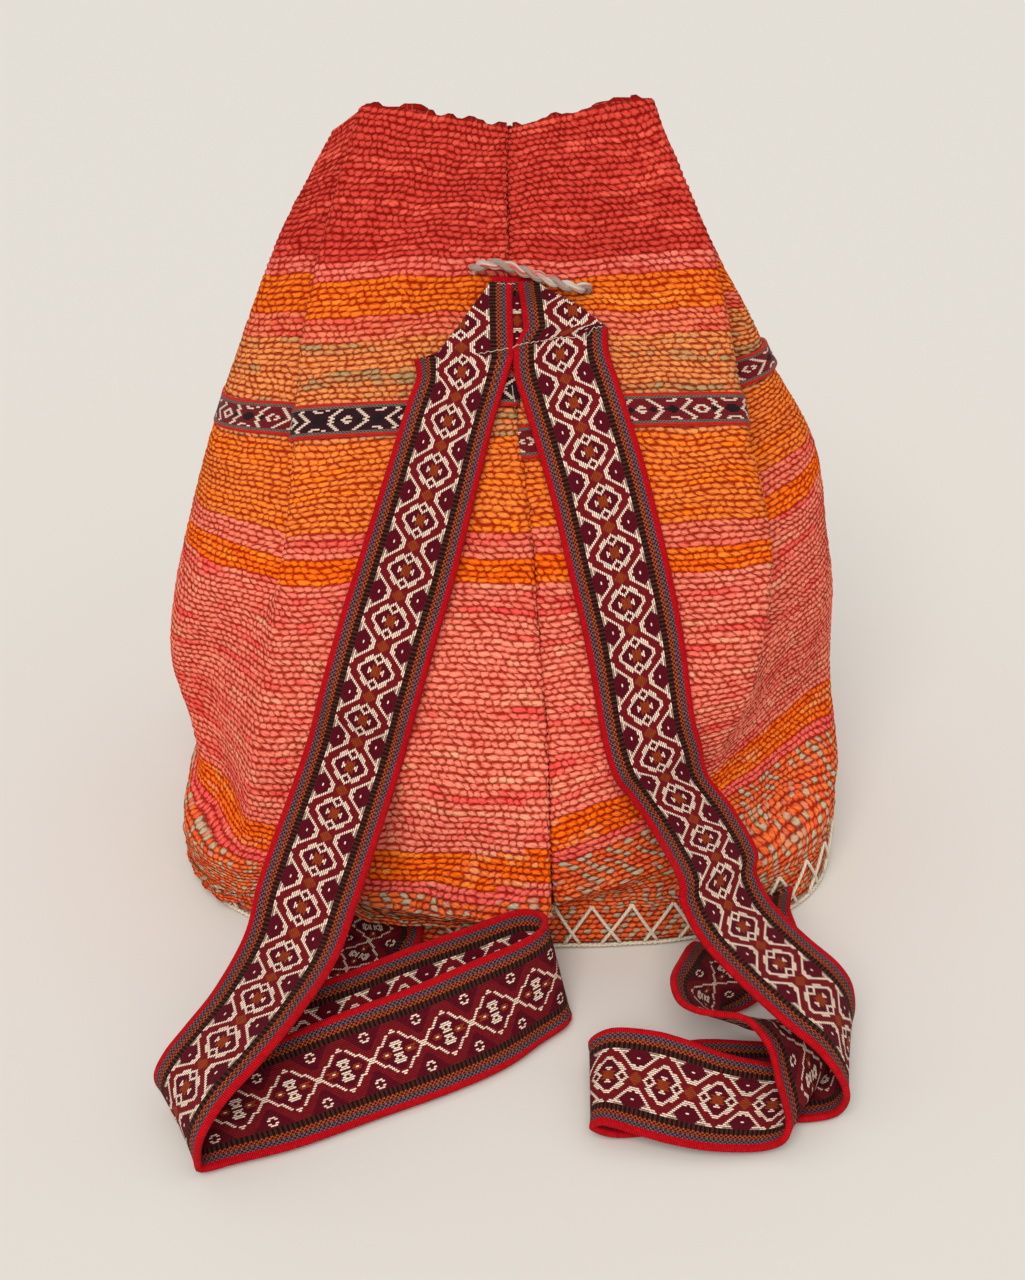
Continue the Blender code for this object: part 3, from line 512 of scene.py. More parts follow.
def seam_control(row):
    """Control points where the cloth is gathered on to the rim of the base."""
    loop = row_control(GUIDE_ROWS[-1])
    share = (row - NECK_ROW) / (CLOTH_LENGTH - NECK_ROW)
    height = BASE_RIM + SEAT_GAP + NECK_RISE * (1.0 - share)
    walk = walked(closed_line(loop[:, :2]))
    outline = oval_outline(720)
    # The outline starts at its foremost point by the middle, and runs the way that the cloth does
    by_middle = np.abs(outline[:, 0]) <= 0.004
    start = int(np.argmin(np.where(by_middle, outline[:, 1], BASE_DEPTH)))
    outline = closed_line(np.roll(outline[::-1], start + 1, axis=0))
    around = walked(outline)
    flat = at_distances(walk[:-1] / walk[-1] * around[-1], around, outline)
    return np.column_stack((flat, np.full(len(flat), height)))


def control(row):
    """Control points of any row, down to the seam on the base."""
    last = GUIDE_ROWS[-1]
    if row <= last:
        return row_control(row)
    if row >= NECK_ROW:
        return seam_control(row)
    share = (row - last) / (NECK_ROW - last)
    return mix(row_control(last), seam_control(NECK_ROW), share)


def smooth_loop(points, per_point):
    """Round a closed control loop into a curve that keeps to its legs' middles."""
    before = 0.5 * (np.roll(points, 1, axis=0) + points)
    after = 0.5 * (np.roll(points, -1, axis=0) + points)
    result = []
    for first, corner, last in zip(before, points, after):
        for step in range(per_point):
            t = step / per_point
            result.append((1 - t) ** 2 * first + 2 * t * (1 - t) * corner + t ** 2 * last)
    return np.array(result)


# Sizes and colours for the user


class BackpackSizes(PropertyGroup):
    bead_relief: FloatProperty(
        name="Bead relief", description="Height of a weft bead above the gaps round it",
        default=BEAD_RELIEF, min=0.0, max=0.002, unit="LENGTH")
    cloth_wander: FloatProperty(
        name="Wander", description="How far the weft rows wander, in rows",
        default=0.28, min=0.0, max=1.0)
    selvedge_roll: FloatProperty(
        name="Selvedge roll", description="How far the tapes' red edges stand proud",
        default=SELVEDGE_ROLL, min=0.0, max=0.001, unit="LENGTH")
    lacing_stitches: IntProperty(
        name="Lacing stitches", description="Number of stitches round the base",
        default=LACE_STITCHES, min=20, max=90)
    cord_plies: IntProperty(
        name="Cord plies", description="Strands twisted into the drawcord",
        default=2, min=2, max=4)


class BackpackColours(PropertyGroup):
    selvedge: FloatVectorProperty(
        name="Selvedge", description="Colour of the tapes' edges",
        default=(0.56, 0.004, 0.010), size=3, min=0.0, max=1.0, subtype="COLOR")
    ground: FloatVectorProperty(
        name="Tape ground", description="Dark red ground of the tapes' pattern",
        default=(0.175, 0.008, 0.012), size=3, min=0.0, max=1.0, subtype="COLOR")
    motif: FloatVectorProperty(
        name="Tape motif", description="Pale threads of the tapes' pattern",
        default=(0.84, 0.66, 0.50), size=3, min=0.0, max=1.0, subtype="COLOR")
    yarn: FloatVectorProperty(
        name="Cream yarn", description="Yarn of the lacing and the base's edge",
        default=(0.86, 0.74, 0.56), size=3, min=0.0, max=1.0, subtype="COLOR")
    floor: FloatVectorProperty(
        name="Floor", description="Colour of the studio floor",
        default=(0.74, 0.70, 0.64), size=3, min=0.0, max=1.0, subtype="COLOR")


# Surfaces


def unit(vectors):
    """Vectors of length one, along the last axis."""
    return vectors / np.maximum(np.linalg.norm(vectors, axis=-1, keepdims=True), 1e-12)


def lattice(name, points, marks, closed=False, flip=False):
    """Mesh of a grid of points, each row of it a ring. Unless the rows close too, its ends are capped.

    Marks are the weave's coordinates, with one more than the points along each way that closes.
    """
    rows, columns = points.shape[:2]
    row_steps = rows if closed else rows - 1
    i, k = np.meshgrid(np.arange(row_steps), np.arange(columns), indexing="ij")
    i, k = i.ravel(), k.ravel()
    ahead_i, ahead_k = (i + 1) % rows, (k + 1) % columns
    corners = np.stack((i * columns + k, i * columns + ahead_k,
                        ahead_i * columns + ahead_k, ahead_i * columns + k), axis=1)
    shown = np.stack((marks[i, k], marks[i, k + 1], marks[i + 1, k + 1], marks[i + 1, k]), axis=1)
    if flip:
        corners, shown = corners[:, ::-1], shown[:, ::-1]
    faces = [tuple(face) for face in corners.tolist()]
    shown = shown.reshape(-1, 3)
    if not closed:
        faces.append(tuple(range(columns))[::-1])
        faces.append(tuple(range((rows - 1) * columns, rows * columns)))
        shown = np.vstack((shown, marks[0, :columns][::-1], marks[rows - 1, :columns]))
    mesh = bpy.data.meshes.new(name)
    mesh.from_pydata(points.reshape(-1, 3).tolist(), [], faces)
    stored = mesh.attributes.new("weave", "FLOAT_VECTOR", "CORNER")
    stored.data.foreach_set("vector", shown.astype(np.float32).ravel())
    mesh.shade_smooth()
    mesh.update()
    made = bpy.data.objects.new(name, mesh)
    bpy.context.scene.collection.objects.link(made)
    return made


def settle(piece, finish, slot, *nodes):
    """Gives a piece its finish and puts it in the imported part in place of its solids."""
    piece.data.materials.clear()
    piece.data.materials.append(finish)
    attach(piece, "root")
    if nodes:
        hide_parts(*nodes)
    return piece


def joined(pieces, name):
    """Several objects joined into one, under one name."""
    if len(pieces) > 1:
        with bpy.context.temp_override(active_object=pieces[0], object=pieces[0], selected_objects=pieces,
                                       selected_editable_objects=pieces):
            bpy.ops.object.join()
    pieces[0].name = name
    return pieces[0]


def hashed(a, b):
    """Numbers from zero to one that look unordered, the same each time, for pairs of numbers."""
    raw = np.sin(a * 12.9898 + b * 78.233) * 43758.5453
    return raw - np.floor(raw)


def bead_height(u, v):
    """Height from zero to one of the weft rows and their beads, at places in beads and rows."""
    row = np.floor(v)
    cell = np.floor(u + 0.5 * (row % 2))
    inside = 2.0 * (v - row) - 1.0
    return (0.72 + 0.50 * hashed(cell, row)) * np.sqrt(np.clip(1.0 - inside ** 2, 0.0, None))


def weft_drift(u, v):
    """How far a bead has strayed along its row and across it, in beads and rows."""
    turn = 2 * math.pi * u / BEADS_ROUND
    along = (0.30 * np.sin(13 * turn + 0.71 * v) + 0.22 * np.sin(37 * turn - 1.13 * v)
             + 0.16 * np.sin(71 * turn + 2.3 * v))
    across = (0.22 * np.sin(11 * turn + 1.7 * np.sin(0.17 * v)) + 0.12 * np.sin(29 * turn - 0.23 * v)
              + 0.06 * np.sin(59 * turn + 0.41 * v))
    return along, across


@cache
def loop_at(row):
    """The line of a row and the distance along it, worked out once for each row."""
    line = closed_line(smooth_loop(control(min(max(row, 0.0), CLOTH_LENGTH)), 10))
    return line, walked(line)


def dense_loop(row):
    """A row of the body as a fine closed line, and the distance along it at each point."""
    return loop_at(round(row, 5))


def front_point(x, row):
    """Foremost point of the bag at a place across its front, a little smoothed over the folds."""
    beside = 0.005
    line = dense_loop(row)[0]
    a, b = line[:-1], line[1:]
    best = None
    for place in (x - beside, x, x + beside):
        hit = (a[:, 0] - place) * (b[:, 0] - place) <= 0
        run = b[hit, 0] - a[hit, 0]
        level = np.abs(run) < 1e-9
        share = np.where(level, 0.5, (place - a[hit, 0]) / np.where(level, 1.0, run))
        points = a[hit] + (b[hit] - a[hit]) * share[:, None]
        first = points[np.argmin(points[:, 1])]
        if best is None or first[1] < best[1]:
            best = first
    return np.array((x, best[1], best[2]))


def front_outward(x, row):
    """Direction straight out of the bag's front at a place."""
    beside, above = 0.012, 0.020
    across = front_point(x + beside, row) - front_point(x - beside, row)
    down = front_point(x, row + above) - front_point(x, row - above)
    outward = np.cross(down, across)
    return outward / np.linalg.norm(outward)


def laid_section(x, row, lift):
    """Point a set height above the bag's front."""
    return front_point(x, row) + front_outward(x, row) * lift


def body_sheet(shares, rows):
    """Points of the cloth's face at shares of each row's length, and their normals."""
    points = np.empty((len(rows), shares.shape[1], 3))
    for index, row in enumerate(rows):
        line, walk = dense_loop(row)
        points[index] = at_distances((shares[index] % 1.0) * walk[-1], walk, line)
    around = np.roll(points, -1, axis=1) - np.roll(points, 1, axis=1)
    down = np.gradient(points, axis=0)
    return points, unit(np.cross(around, down))


# Cloth of the body


def fade(values, start, length):
    """Zero up to a start, then a straight rise to one over a length."""
    return np.clip((values - start) / length, 0.0, 1.0)


def ramp(values):
    """Soft step from zero to one."""
    held = np.clip(values, 0.0, 1.0)
    return held ** 2 * (3.0 - 2.0 * held)


def left_lap(points, rows):
    """Share by which the cloth left of the front pleat laps over the base, with its stripes lower."""
    shares = np.arange(points.shape[1]) / points.shape[1]
    x, y = points[..., 0], points[..., 1]
    front = ramp(fade(-y, 0.055, 0.030)) * fade(shares, 0.0, 0.02) * (shares < 0.5)
    return ramp(fade(x, -0.100, 0.035)) * front * ramp(fade(rows[:, None], 0.385, 0.050))


def stripe_slip(points, rows):
    """Rows by which the stripes of the foot stand off their level on each side of the front pleat."""
    shares = np.arange(points.shape[1]) / points.shape[1]
    x, y = points[..., 0], points[..., 1]
    near_pleat = ramp(fade(x, -0.020, 0.035))
    left = (shares < 0.5) * ramp(fade(x, -0.105, 0.030)) * mix(LEFT_SLIP, LEFT_SLIP_AT_PLEAT, near_pleat)
    right = (shares > 0.5) * ramp(fade(-x, -0.100, 0.030)) * RIGHT_SLIP
    return (right - left) * fade(rows[:, None], 0.30, 0.04) * (y < -0.04)


def drooped(points, rows):
    """Lays the foot of the cloth over the rim, and lets its front left corner sag to the floor."""
    x, y = points[..., 0], points[..., 1]
    corner = fade(-x, 0.112, 0.040) * fade(-y, -0.030, 0.050)
    share = ramp(corner) * ramp(fade(rows[:, None], 0.345, 0.050))
    moved = points.copy()
    moved[..., 2] -= share * np.clip(points[..., 2] - SAG_FLOOR, 0.0, SAG_MOST)
    # What hangs beside the base is pushed out past its outline
    grow = 0.0010 + 0.0040 * np.clip(share * 6.0, 0.0, 1.0)
    inside = ((abs(x) / (BASE_LENGTH / 2 + grow)) ** BASE_SQUARENESS
              + (abs(y) / (BASE_DEPTH / 2 + grow)) ** BASE_SQUARENESS)
    lack = np.clip(inside ** (-1.0 / BASE_SQUARENESS) - 1.0, 0.0, 0.15)
    near = fade(-moved[..., 2], -0.052, 0.020) * fade(rows[:, None], 0.37, 0.02)
    moved[..., :2] *= (1.0 + lack * ramp(near))[..., None]
    lap = left_lap(points, rows)
    moved[..., 1] -= LAP_FORWARD * lap
    moved[..., 2] -= LAP_DOWN * lap
    return moved, share


def make_cloth(sizes):
    """The striped tube, its mouth pleated and its foot gathered on to the base."""
    # The grid, with the weave's marks on it: the beads stray, but not at the mouth and the foot
    fine = 2 * BEAD_ROWS + 1
    rows = np.linspace(0.0, CLOTH_LENGTH, fine)
    v = np.linspace(0.0, BEAD_ROWS, fine)
    all_u, all_v = np.meshgrid(np.linspace(0.0, BEADS_ROUND, COLUMNS_ROUND + 1), v)
    along, across = weft_drift(all_u, all_v)
    edge = fade(np.minimum(all_v, BEAD_ROWS - all_v), 0.0, 3.0)
    marks_u = all_u + along
    marks_v = all_v + across * edge
    grid_u, grid_v = all_u[:, :-1], all_v[:, :-1]
    turn = 2 * math.pi * grid_u / BEADS_ROUND

    # The face: rows that wander, stripes that are off their level, and a foot that hangs over the rim
    outer, normals = body_sheet(grid_u / BEADS_ROUND, rows)
    rise = sizes.cloth_wander * (np.sin(7 * turn + 0.6 * np.sin(0.23 * grid_v))
                                 + 0.6 * np.sin(19 * turn - 0.31 * grid_v))
    step = np.gradient(outer, axis=0) * (fine - 1) / BEAD_ROWS
    outer = outer + step * (rise * edge[:, :-1])[..., None]
    slip = stripe_slip(outer, rows)
    slip = np.concatenate((slip, slip[:, :1]), axis=1)
    outer, share = drooped(outer, rows)
    marks_v[:, :-1] += SAG_ROWS * share

    # Relief of the weave, slow swells, puckers at the seam, and the holes pushed open by the cord
    height = bead_height(marks_u[:, :-1], marks_v[:, :-1]) - 0.45
    puffed = 0.0010 * np.sin(5 * turn + 0.11 * grid_v) * np.sin(0.09 * grid_v + 2 * turn) * edge[:, :-1]
    pucker = 0.0006 * np.sin(61 * turn + 1.9 * np.sin(11 * turn)) * fade(rows[:, None], 0.405, 0.030)
    outer = outer + normals * (sizes.bead_relief * height + puffed + pucker)[..., None]
    for x, row in CORD_HOLES:
        away = outer - front_point(x, row)
        reach = np.linalg.norm(away, axis=2)
        push = np.clip(CORD_DIAMETER * 0.52 - reach, 0.0, None)
        outer = outer + unit(away) * push[..., None]

    # The inside, a thickness behind the face, and lips that close the cloth at its mouth and foot
    kept = np.linspace(0, fine - 1, INNER_ROWS).round().astype(int)
    inner = (outer - normals * (CLOTH_THICK + sizes.bead_relief * height[..., None]))[kept][::-1]
    bumps = 0.0002 + 0.0032 * hashed(np.floor(np.arange(COLUMNS_ROUND) / 2.0), 1.0)
    lip_top = 0.5 * (outer[0] + inner[-1]) + unit(outer[0] - outer[2]) * bumps[:, None]
    lip_foot = 0.5 * (outer[-1] + inner[0])
    lip_foot[:, 2] = np.maximum(lip_foot[:, 2], np.minimum(BASE_RIM + SEAT_GAP * 0.5, outer[-1][:, 2]))
    points = np.concatenate((outer, lip_foot[None], inner, lip_top[None]))
    order = np.concatenate((np.arange(fine), (fine - 1,), kept[::-1], (0, 0)))
    marks = np.stack((marks_u[order], marks_v[order], slip[order]), axis=2)
    made = lattice("bag_cloth", points, marks, closed=True)
    settle(made, striped_wool(), "striped_wool", "bag_body")
    girth = np.mean([dense_loop(row)[1][-1] for row in rows[::20]])


# Base


def make_base(sizes):
    """The oval tray of cloth under the bag, with its rim turned up."""
    columns = BASE_COLUMNS
    outline = oval_outline(columns)
    run = unit(np.roll(outline, -1, axis=0) - np.roll(outline, 1, axis=0))
    out = np.column_stack((run[:, 1], -run[:, 0]))
    beads = round(walked(closed_line(outline))[-1] / BEAD_LENGTH)
    u = np.arange(columns + 1) * beads / columns
    no_slip = np.zeros(columns + 1)
    wall_rows = BASE_RIM / WEFT_PITCH
    # Rows of the rim are counted from here, so that they aren't those of the flat
    rim_row = 100.0
    rings, marks = [], []

    def ring(flat, height, row=None, relief=0.0):
        """Adds a level ring with the marks of a row of the rim, or else those of the flat."""
        points = np.column_stack((flat, np.full(columns, height)))
        if row is None:
            line = closed_line(flat)
            mark = (line[:, 0] / BEAD_LENGTH, line[:, 1] / WEFT_PITCH, no_slip)
        else:
            bead = bead_height(u[:-1], np.full(columns, row + 1e-6)) - 0.9
            points[:, :2] += out * (bead * relief)[:, None]
            mark = (u, np.full(columns + 1, row), no_slip)
        rings.append(points)
        marks.append(np.column_stack(mark))

    def row_at(height):
        """The row of the rim's weave at a height."""
        return (1.0 - height / BASE_RIM) * wall_rows + rim_row

    for share in np.linspace(0.0, 1.0, 13):
        height = BASE_RIM - 0.001 - (BASE_RIM - 0.0045) * share
        ring(outline, height, row_at(height), sizes.bead_relief)
    ring(outline - out * 0.0006, 0.0022, wall_rows - 0.4 + rim_row, 0.0002)
    ring(outline - out * 0.0020, 0.0006, wall_rows - 0.1 + rim_row)
    ring(outline - out * 0.0040, 0.0)
    shares = (0.93, 0.86, 0.75, 0.62, 0.48, 0.34, 0.20, 0.08)
    for share in shares:
        ring(outline * share, 0.0)
    for share in shares[::-1]:
        ring(outline * share, CLOTH_THICK)
    ring(outline - out * (CLOTH_THICK + 0.003), CLOTH_THICK)
    ring(outline - out * CLOTH_THICK, CLOTH_THICK + 0.003)
    for height in (0.011, 0.017, BASE_RIM - 0.0008):
        ring(outline - out * CLOTH_THICK, height, row_at(height))
    ring(outline - out * CLOTH_THICK / 2, BASE_RIM, rim_row)
    marks.append(marks[0])
    made = lattice("base_tray", np.array(rings), np.array(marks), closed=True, flip=True)
    settle(made, base_wool(), "wool_base", "base_panel")


# Tapes


def strap_columns(visible):
    """Distances across a strap from its inner edge, outer edge first, up to a folded edge."""
    columns = (STRAP_WIDTH, STRAP_WIDTH - STRAP_BORDER, STRAP_WIDTH / 2, STRAP_BORDER, 0.0)
    limits = [visible - FOLD_STEP * index for index in range(4)] + [0.0]
    return [min(column, limit) for column, limit in zip(columns, limits)]


def head_sections(heads, side):
    """Sections of the strap's head, level across, where its outer part is folded away."""
    sections = []
    for inner, row, visible in heads:
        sections.append([(*laid_section(inner + side * distance, row, STRAP_LIFT + STRAP_THICK), distance)
                         for distance in strap_columns(visible)])
    return sections


def top_section(inner, outer):
    """The first section of the strap's full width, from its inner edge to its outer edge."""
    section = []
    for distance in strap_columns(STRAP_WIDTH * 2):
        x, row = mix(np.array(inner), np.array(outer), distance / STRAP_WIDTH)
        section.append((*laid_section(x, row, STRAP_LIFT + STRAP_THICK), distance))
    return section


def laid_sections(centres, side):
    """Sections of the strap where it lies on the bag, square to its run."""
    sections = []
    for index, (x, row) in enumerate(centres):
        before = centres[max(index - 1, 0)]
        after = centres[min(index + 1, len(centres) - 1)]
        run = np.array((after[0] - before[0], after[1] - before[1]))
        run /= np.linalg.norm(run)
        square = side * np.array((run[1], -run[0]))
        # The left strap shows narrower towards its head, and the right one towards the foot
        shown = 0.94 - 0.10 * max(0.0, side * (row - 0.25) / 0.10)
        section = []
        for distance in strap_columns(STRAP_WIDTH * 2):
            offset = square * (distance - STRAP_WIDTH / 2) * shown
            point = laid_section(x + offset[0], row + offset[1], STRAP_LIFT + STRAP_THICK)
            section.append((*point, distance))
        sections.append(section)
    return sections


def free_sections(edges):
    """Sections of the strap off the bag, straight between its two edges."""
    sections = []
    for outer, inner in edges:
        outer = np.array(outer)
        inner = np.array(inner)
        sections.append([(*mix(inner, outer, distance / STRAP_WIDTH), distance)
                         for distance in strap_columns(STRAP_WIDTH * 2)])
    return sections


def rim_section(outer_x, inner_x, height):
    """Section of a strap's end, laid along the front of the base's rim."""
    section = []
    half, depth = BASE_LENGTH / 2, BASE_DEPTH / 2
    for distance in strap_columns(STRAP_WIDTH * 2):
        x = mix(inner_x, outer_x, distance / STRAP_WIDTH)
        y = -depth * (1.0 - (abs(x) / half) ** BASE_SQUARENESS) ** (1.0 / BASE_SQUARENESS)
        out = np.array(((x / half) * abs(x / half) / half, -(abs(y) / depth) ** 2 / depth))
        out /= np.linalg.norm(out)
        section.append((x + out[0] * RIM_LIFT, y + out[1] * RIM_LIFT, height, distance))
    return section


def run_smoothly(sections, step):
    """Sections resampled along a smooth curve through those given, at about a set step."""
    sections = np.array(sections)
    count = len(sections)
    result = []
    for index in range(count - 1):
        p0 = sections[max(index - 1, 0)]
        p1 = sections[index]
        p2 = sections[index + 1]
        p3 = sections[min(index + 2, count - 1)]
        length = float(np.max(np.linalg.norm((p2 - p1)[:, :3], axis=1)))
        parts = max(1, int(round(length / step)))
        for part in range(parts):
            t = part / parts
            result.append(0.5 * (2 * p1 + (p2 - p0) * t + (2 * p0 - 5 * p1 + 4 * p2 - p3) * t ** 2
                                 + (3 * p1 - p0 - 3 * p2 + p3) * t ** 3))
    result.append(sections[-1])
    return np.array(result)


def tape_mesh(name, sections, thick, roll, facing, width):
    """A tape through its sections, with proud selvedges where its edges aren't folded away."""
    across = np.array((0.0, 0.03, 0.07, 0.12, 0.19, 0.28, 0.39, 0.50,
                       0.61, 0.72, 0.81, 0.88, 0.93, 0.97, 1.0))
    columns = strap_columns(STRAP_WIDTH * 2)
    places = np.linspace(0.0, 1.0, sections.shape[1])
    if sections.shape[1] == len(columns):
        places = 1.0 - np.array(columns) / STRAP_WIDTH
    fine = np.array([at_distances(across, places, section) for section in sections])
    face, distance = fine[..., :3], fine[..., 3]
    along = np.gradient(face, axis=0)
    square = np.gradient(face, axis=1)
    normals = unit(np.cross(along, square))
    if normals[0].mean(axis=0) @ np.array(facing) < 0:
        normals = -normals
    edge = np.minimum(distance, width - distance)
    proud = roll * np.clip(1.0 - edge / SELVEDGE_WIDTH, 0.0, 1.0) ** 0.5
    outer = face + normals * proud[..., None]
    inner = face - normals * (thick + proud)[..., None]
    round_edge = thick * 0.35
    start = 0.5 * (outer[:, 0] + inner[:, 0]) + unit(face[:, 0] - face[:, 1]) * round_edge
    end = 0.5 * (outer[:, -1] + inner[:, -1]) + unit(face[:, -1] - face[:, -2]) * round_edge
    points = np.concatenate((outer, end[:, None], inner[:, ::-1], start[:, None]), axis=1)
    walk = walked(face[:, len(across) // 2])
    # Marks: the place across from the tape's middle, the distance along it, and one on its face
    place = distance - width / 2
    across_marks = np.concatenate((place, place[:, -1:], place[:, ::-1], place[:, :1], place[:, :1]), axis=1)
    count = len(across) + 1
    face_marks = np.array([1.0] * count + [0.0] * count + [1.0])
    marks = np.stack(np.broadcast_arrays(across_marks, walk[:, None], face_marks[None, :]), axis=2)
    return lattice(name, points, marks), float(walk[-1])


def make_straps(sizes):
    """Both shoulder straps, from the heads under the cord to their ends on the base's rim."""
    left = ([top_section(*LEFT_TOP)] + laid_sections(LEFT_LAID, -1.0) + free_sections(LEFT_FREE)
            + [rim_section(*LEFT_END, height) for height in END_HEIGHTS])
    right = ([top_section(*RIGHT_TOP)] + laid_sections(RIGHT_LAID, 1.0)
             + free_sections(RIGHT_BEND + RIGHT_FREE)
             + [rim_section(*RIGHT_END, height) for height in END_HEIGHTS])
    heads = head_sections(LEFT_HEAD, -1.0), head_sections(RIGHT_HEAD, 1.0)
    for side, head, sections in (("left", heads[0], left), ("right", heads[1], right)):
        rows = np.concatenate((run_smoothly(head, TAPE_STEP), run_smoothly(sections, TAPE_STEP)))
        made, length = tape_mesh("strap_" + side, rows, STRAP_THICK, sizes.selvedge_roll, TAPE_FACING,
                                 STRAP_WIDTH)
        settle(made, woven_tape(), side + "_strap_tape", "shoulder_strap_" + side)


def make_cross_piece(sizes):
    """The short level piece of tape under the two heads, its red edge up."""
    sections = []
    for x in np.linspace(*CROSS_PLACES, 10):
        section = []
        for share in np.linspace(0.0, 1.0, 9):
            row = mix(*CROSS_ROWS, share)
            section.append((*laid_section(x, row, CROSS_LIFT + STRAP_THICK), share * STRAP_WIDTH))
        sections.append(section)
    made, length = tape_mesh("cross_tape", np.array(sections), STRAP_THICK, sizes.selvedge_roll, TAPE_FACING,
                             STRAP_WIDTH)
    settle(made, woven_tape(), "cross_tape", "strap_cross_piece")


def make_band():
    """The narrow band sewn round the body, its ends meeting at the left fold."""
    columns = 420
    shares = np.tile(np.arange(columns) / columns, (5, 1))
    rows = np.linspace(BAND_TOP, BAND_TOP + BAND_WIDTH, 5)
    points, normals = body_sheet(shares, rows)
    # The band stands higher on the left of the front pleat and lower on its right
    x = points[2, :, 0] - guide(FRONT_MIDDLE, BAND_TOP)[0]
    near = np.clip(1.2 - abs(x) / 0.030, 0.0, 1.0) * (points[2, :, 1] < 0.05)
    slip = np.where(shares[2] < 0.5, -BAND_SLIP, BAND_SLIP) * ramp(near)
    points = points + unit(points[-1] - points[0])[None] * slip[None, :, None]
    even = 0.25 * (np.roll(normals, 1, axis=1) + np.roll(normals, -1, axis=1)) + 0.5 * normals
    lifted = points + unit(even) * (BAND_GAP + BAND_THICK)
    ridge = guide(LEFT_RIDGE, BAND_TOP)
    start = int(np.argmin(np.linalg.norm(points[0] - ridge, axis=1))) + 3
    lifted = np.swapaxes(np.roll(lifted, -start, axis=1), 0, 1)[:-1]
    across = np.tile(np.linspace(0.0, BAND_WIDTH, 5), (len(lifted), 1))
    sections = np.concatenate((lifted, across[..., None]), axis=2)
    made, length = tape_mesh("patterned_band", sections, BAND_THICK, BAND_ROLL, BAND_FACING, BAND_WIDTH)
    settle(made, woven_band(), "woven_band", "trim_band")


# Yarns and cord


def swept(name, path, radius, sides, closed=False, plies=1, twist=0.0, ply_share=0.55):
    """Round yarn along a path, or twisted plies of it, with its run and turn as its marks."""
    path = np.array(path, dtype=float)
    if closed:
        run = unit(np.roll(path, -1, axis=0) - np.roll(path, 1, axis=0))
        walk = walked(closed_line(path))
    else:
        run = unit(np.gradient(path, axis=0))
        walk = walked(path)
    side = np.cross(run[0], (0.0, 0.0, 1.0))
    if np.linalg.norm(side) < 0.1:
        side = np.cross(run[0], (0.0, 1.0, 0.0))
    side = side / np.linalg.norm(side)
    frames = []
    for tangent in run:
        side = side - tangent * (side @ tangent)
        side = side / np.linalg.norm(side)
        frames.append((side, np.cross(tangent, side)))
    first, second = np.array(frames).swapaxes(0, 1)
    turns = 2 * math.pi * np.arange(sides) / sides
    spokes = (np.cos(turns)[None, :, None] * first[:, None, :]
              + np.sin(turns)[None, :, None] * second[:, None, :])
    made = []
    for ply in range(plies):
        centre, thick = path, np.full(len(path), radius)
        if plies > 1:
            angle = 2 * math.pi * (walk[:len(path)] / twist + ply / plies)
            away = np.cos(angle)[:, None] * first + np.sin(angle)[:, None] * second
            centre = path + away * radius * (1.0 - ply_share)
            thick = thick * ply_share
        points = centre[:, None, :] + thick[:, None, None] * spokes
        marks = np.stack(np.broadcast_arrays(np.arange(sides + 1)[None, :] / sides, walk[:, None],
                                             np.full((1, 1), float(ply))), axis=2)
        made.append(lattice(name if ply == 0 else f"{name}_{ply}", points, marks, closed=closed))
    return joined(made, name), float(walk[-1])


@cache
def fine_outline():
    """The base's outline as a fine line, worked out once."""
    return oval_outline(960)


def outline_place(share, grow):
    """Place on the base's outline at a share of the way round, grown outwards."""
    outline = closed_line(grow_loop(fine_outline(), grow))
    at = (share % 1.0) * (len(outline) - 1)
    index = int(at)
    return mix(outline[index], outline[index + 1], at - index)


def make_lacing(sizes):
    """The cream yarn laced over the rim in crossing stitches."""
    grow = LACE_DIAMETER / 2 + SEAT_GAP + LACE_GAP
    stitches = sizes.lacing_stitches
    pieces = []
    for index in range(stitches):
        chance = hashed(float(index), np.array((3.0, 4.0, 6.0, 7.0)))
        head = (index + 0.5 + 0.16 * (chance[0] - 0.5)) / stitches
        high = LACE_HIGH - 0.0022 * chance[3]
        for way, luck in ((-1.0, chance[1]), (1.0, chance[2])):
            reach = 0.62 + 0.10 * luck
            line = [(*outline_place(head + way * 0.015 / stitches, -LACE_TUCK), high + LACE_DIAMETER / 2)]
            for t in np.linspace(0.0, 1.0, 9):
                share = head + way * (0.03 + reach * t) / stitches
                over = LACE_BOWS[way] * math.sin(math.pi * t)
                line.append((*outline_place(share, grow + over), mix(high, LACE_LOW - 0.0012, t)))
            pieces.append(swept(f"lace_{len(pieces)}", line, LACE_DIAMETER / 2, sides=7)[0])
    settle(joined(pieces, "rim_lacing"), cream_wool(), "lacing_yarn", "base_lacing")


def make_edge_yarn():
    """The two plies of cream yarn along the foot of the base."""
    columns = 640
    outline = grow_loop(oval_outline(columns), EDGE_YARN_DIAMETER / 2 + SEAT_GAP)
    turn = np.arange(columns) / columns * 2 * math.pi
    height = EDGE_YARN_DIAMETER / 2 + 0.0004 + 0.0004 * np.sin(17 * turn) ** 2
    path = np.column_stack((outline, height))
    made = swept("edge_yarn", path, EDGE_YARN_DIAMETER / 2, sides=7, closed=True, plies=2,
                 twist=EDGE_TWIST)[0]
    settle(made, cream_wool(), "edge_yarn", "base_edge_yarn")


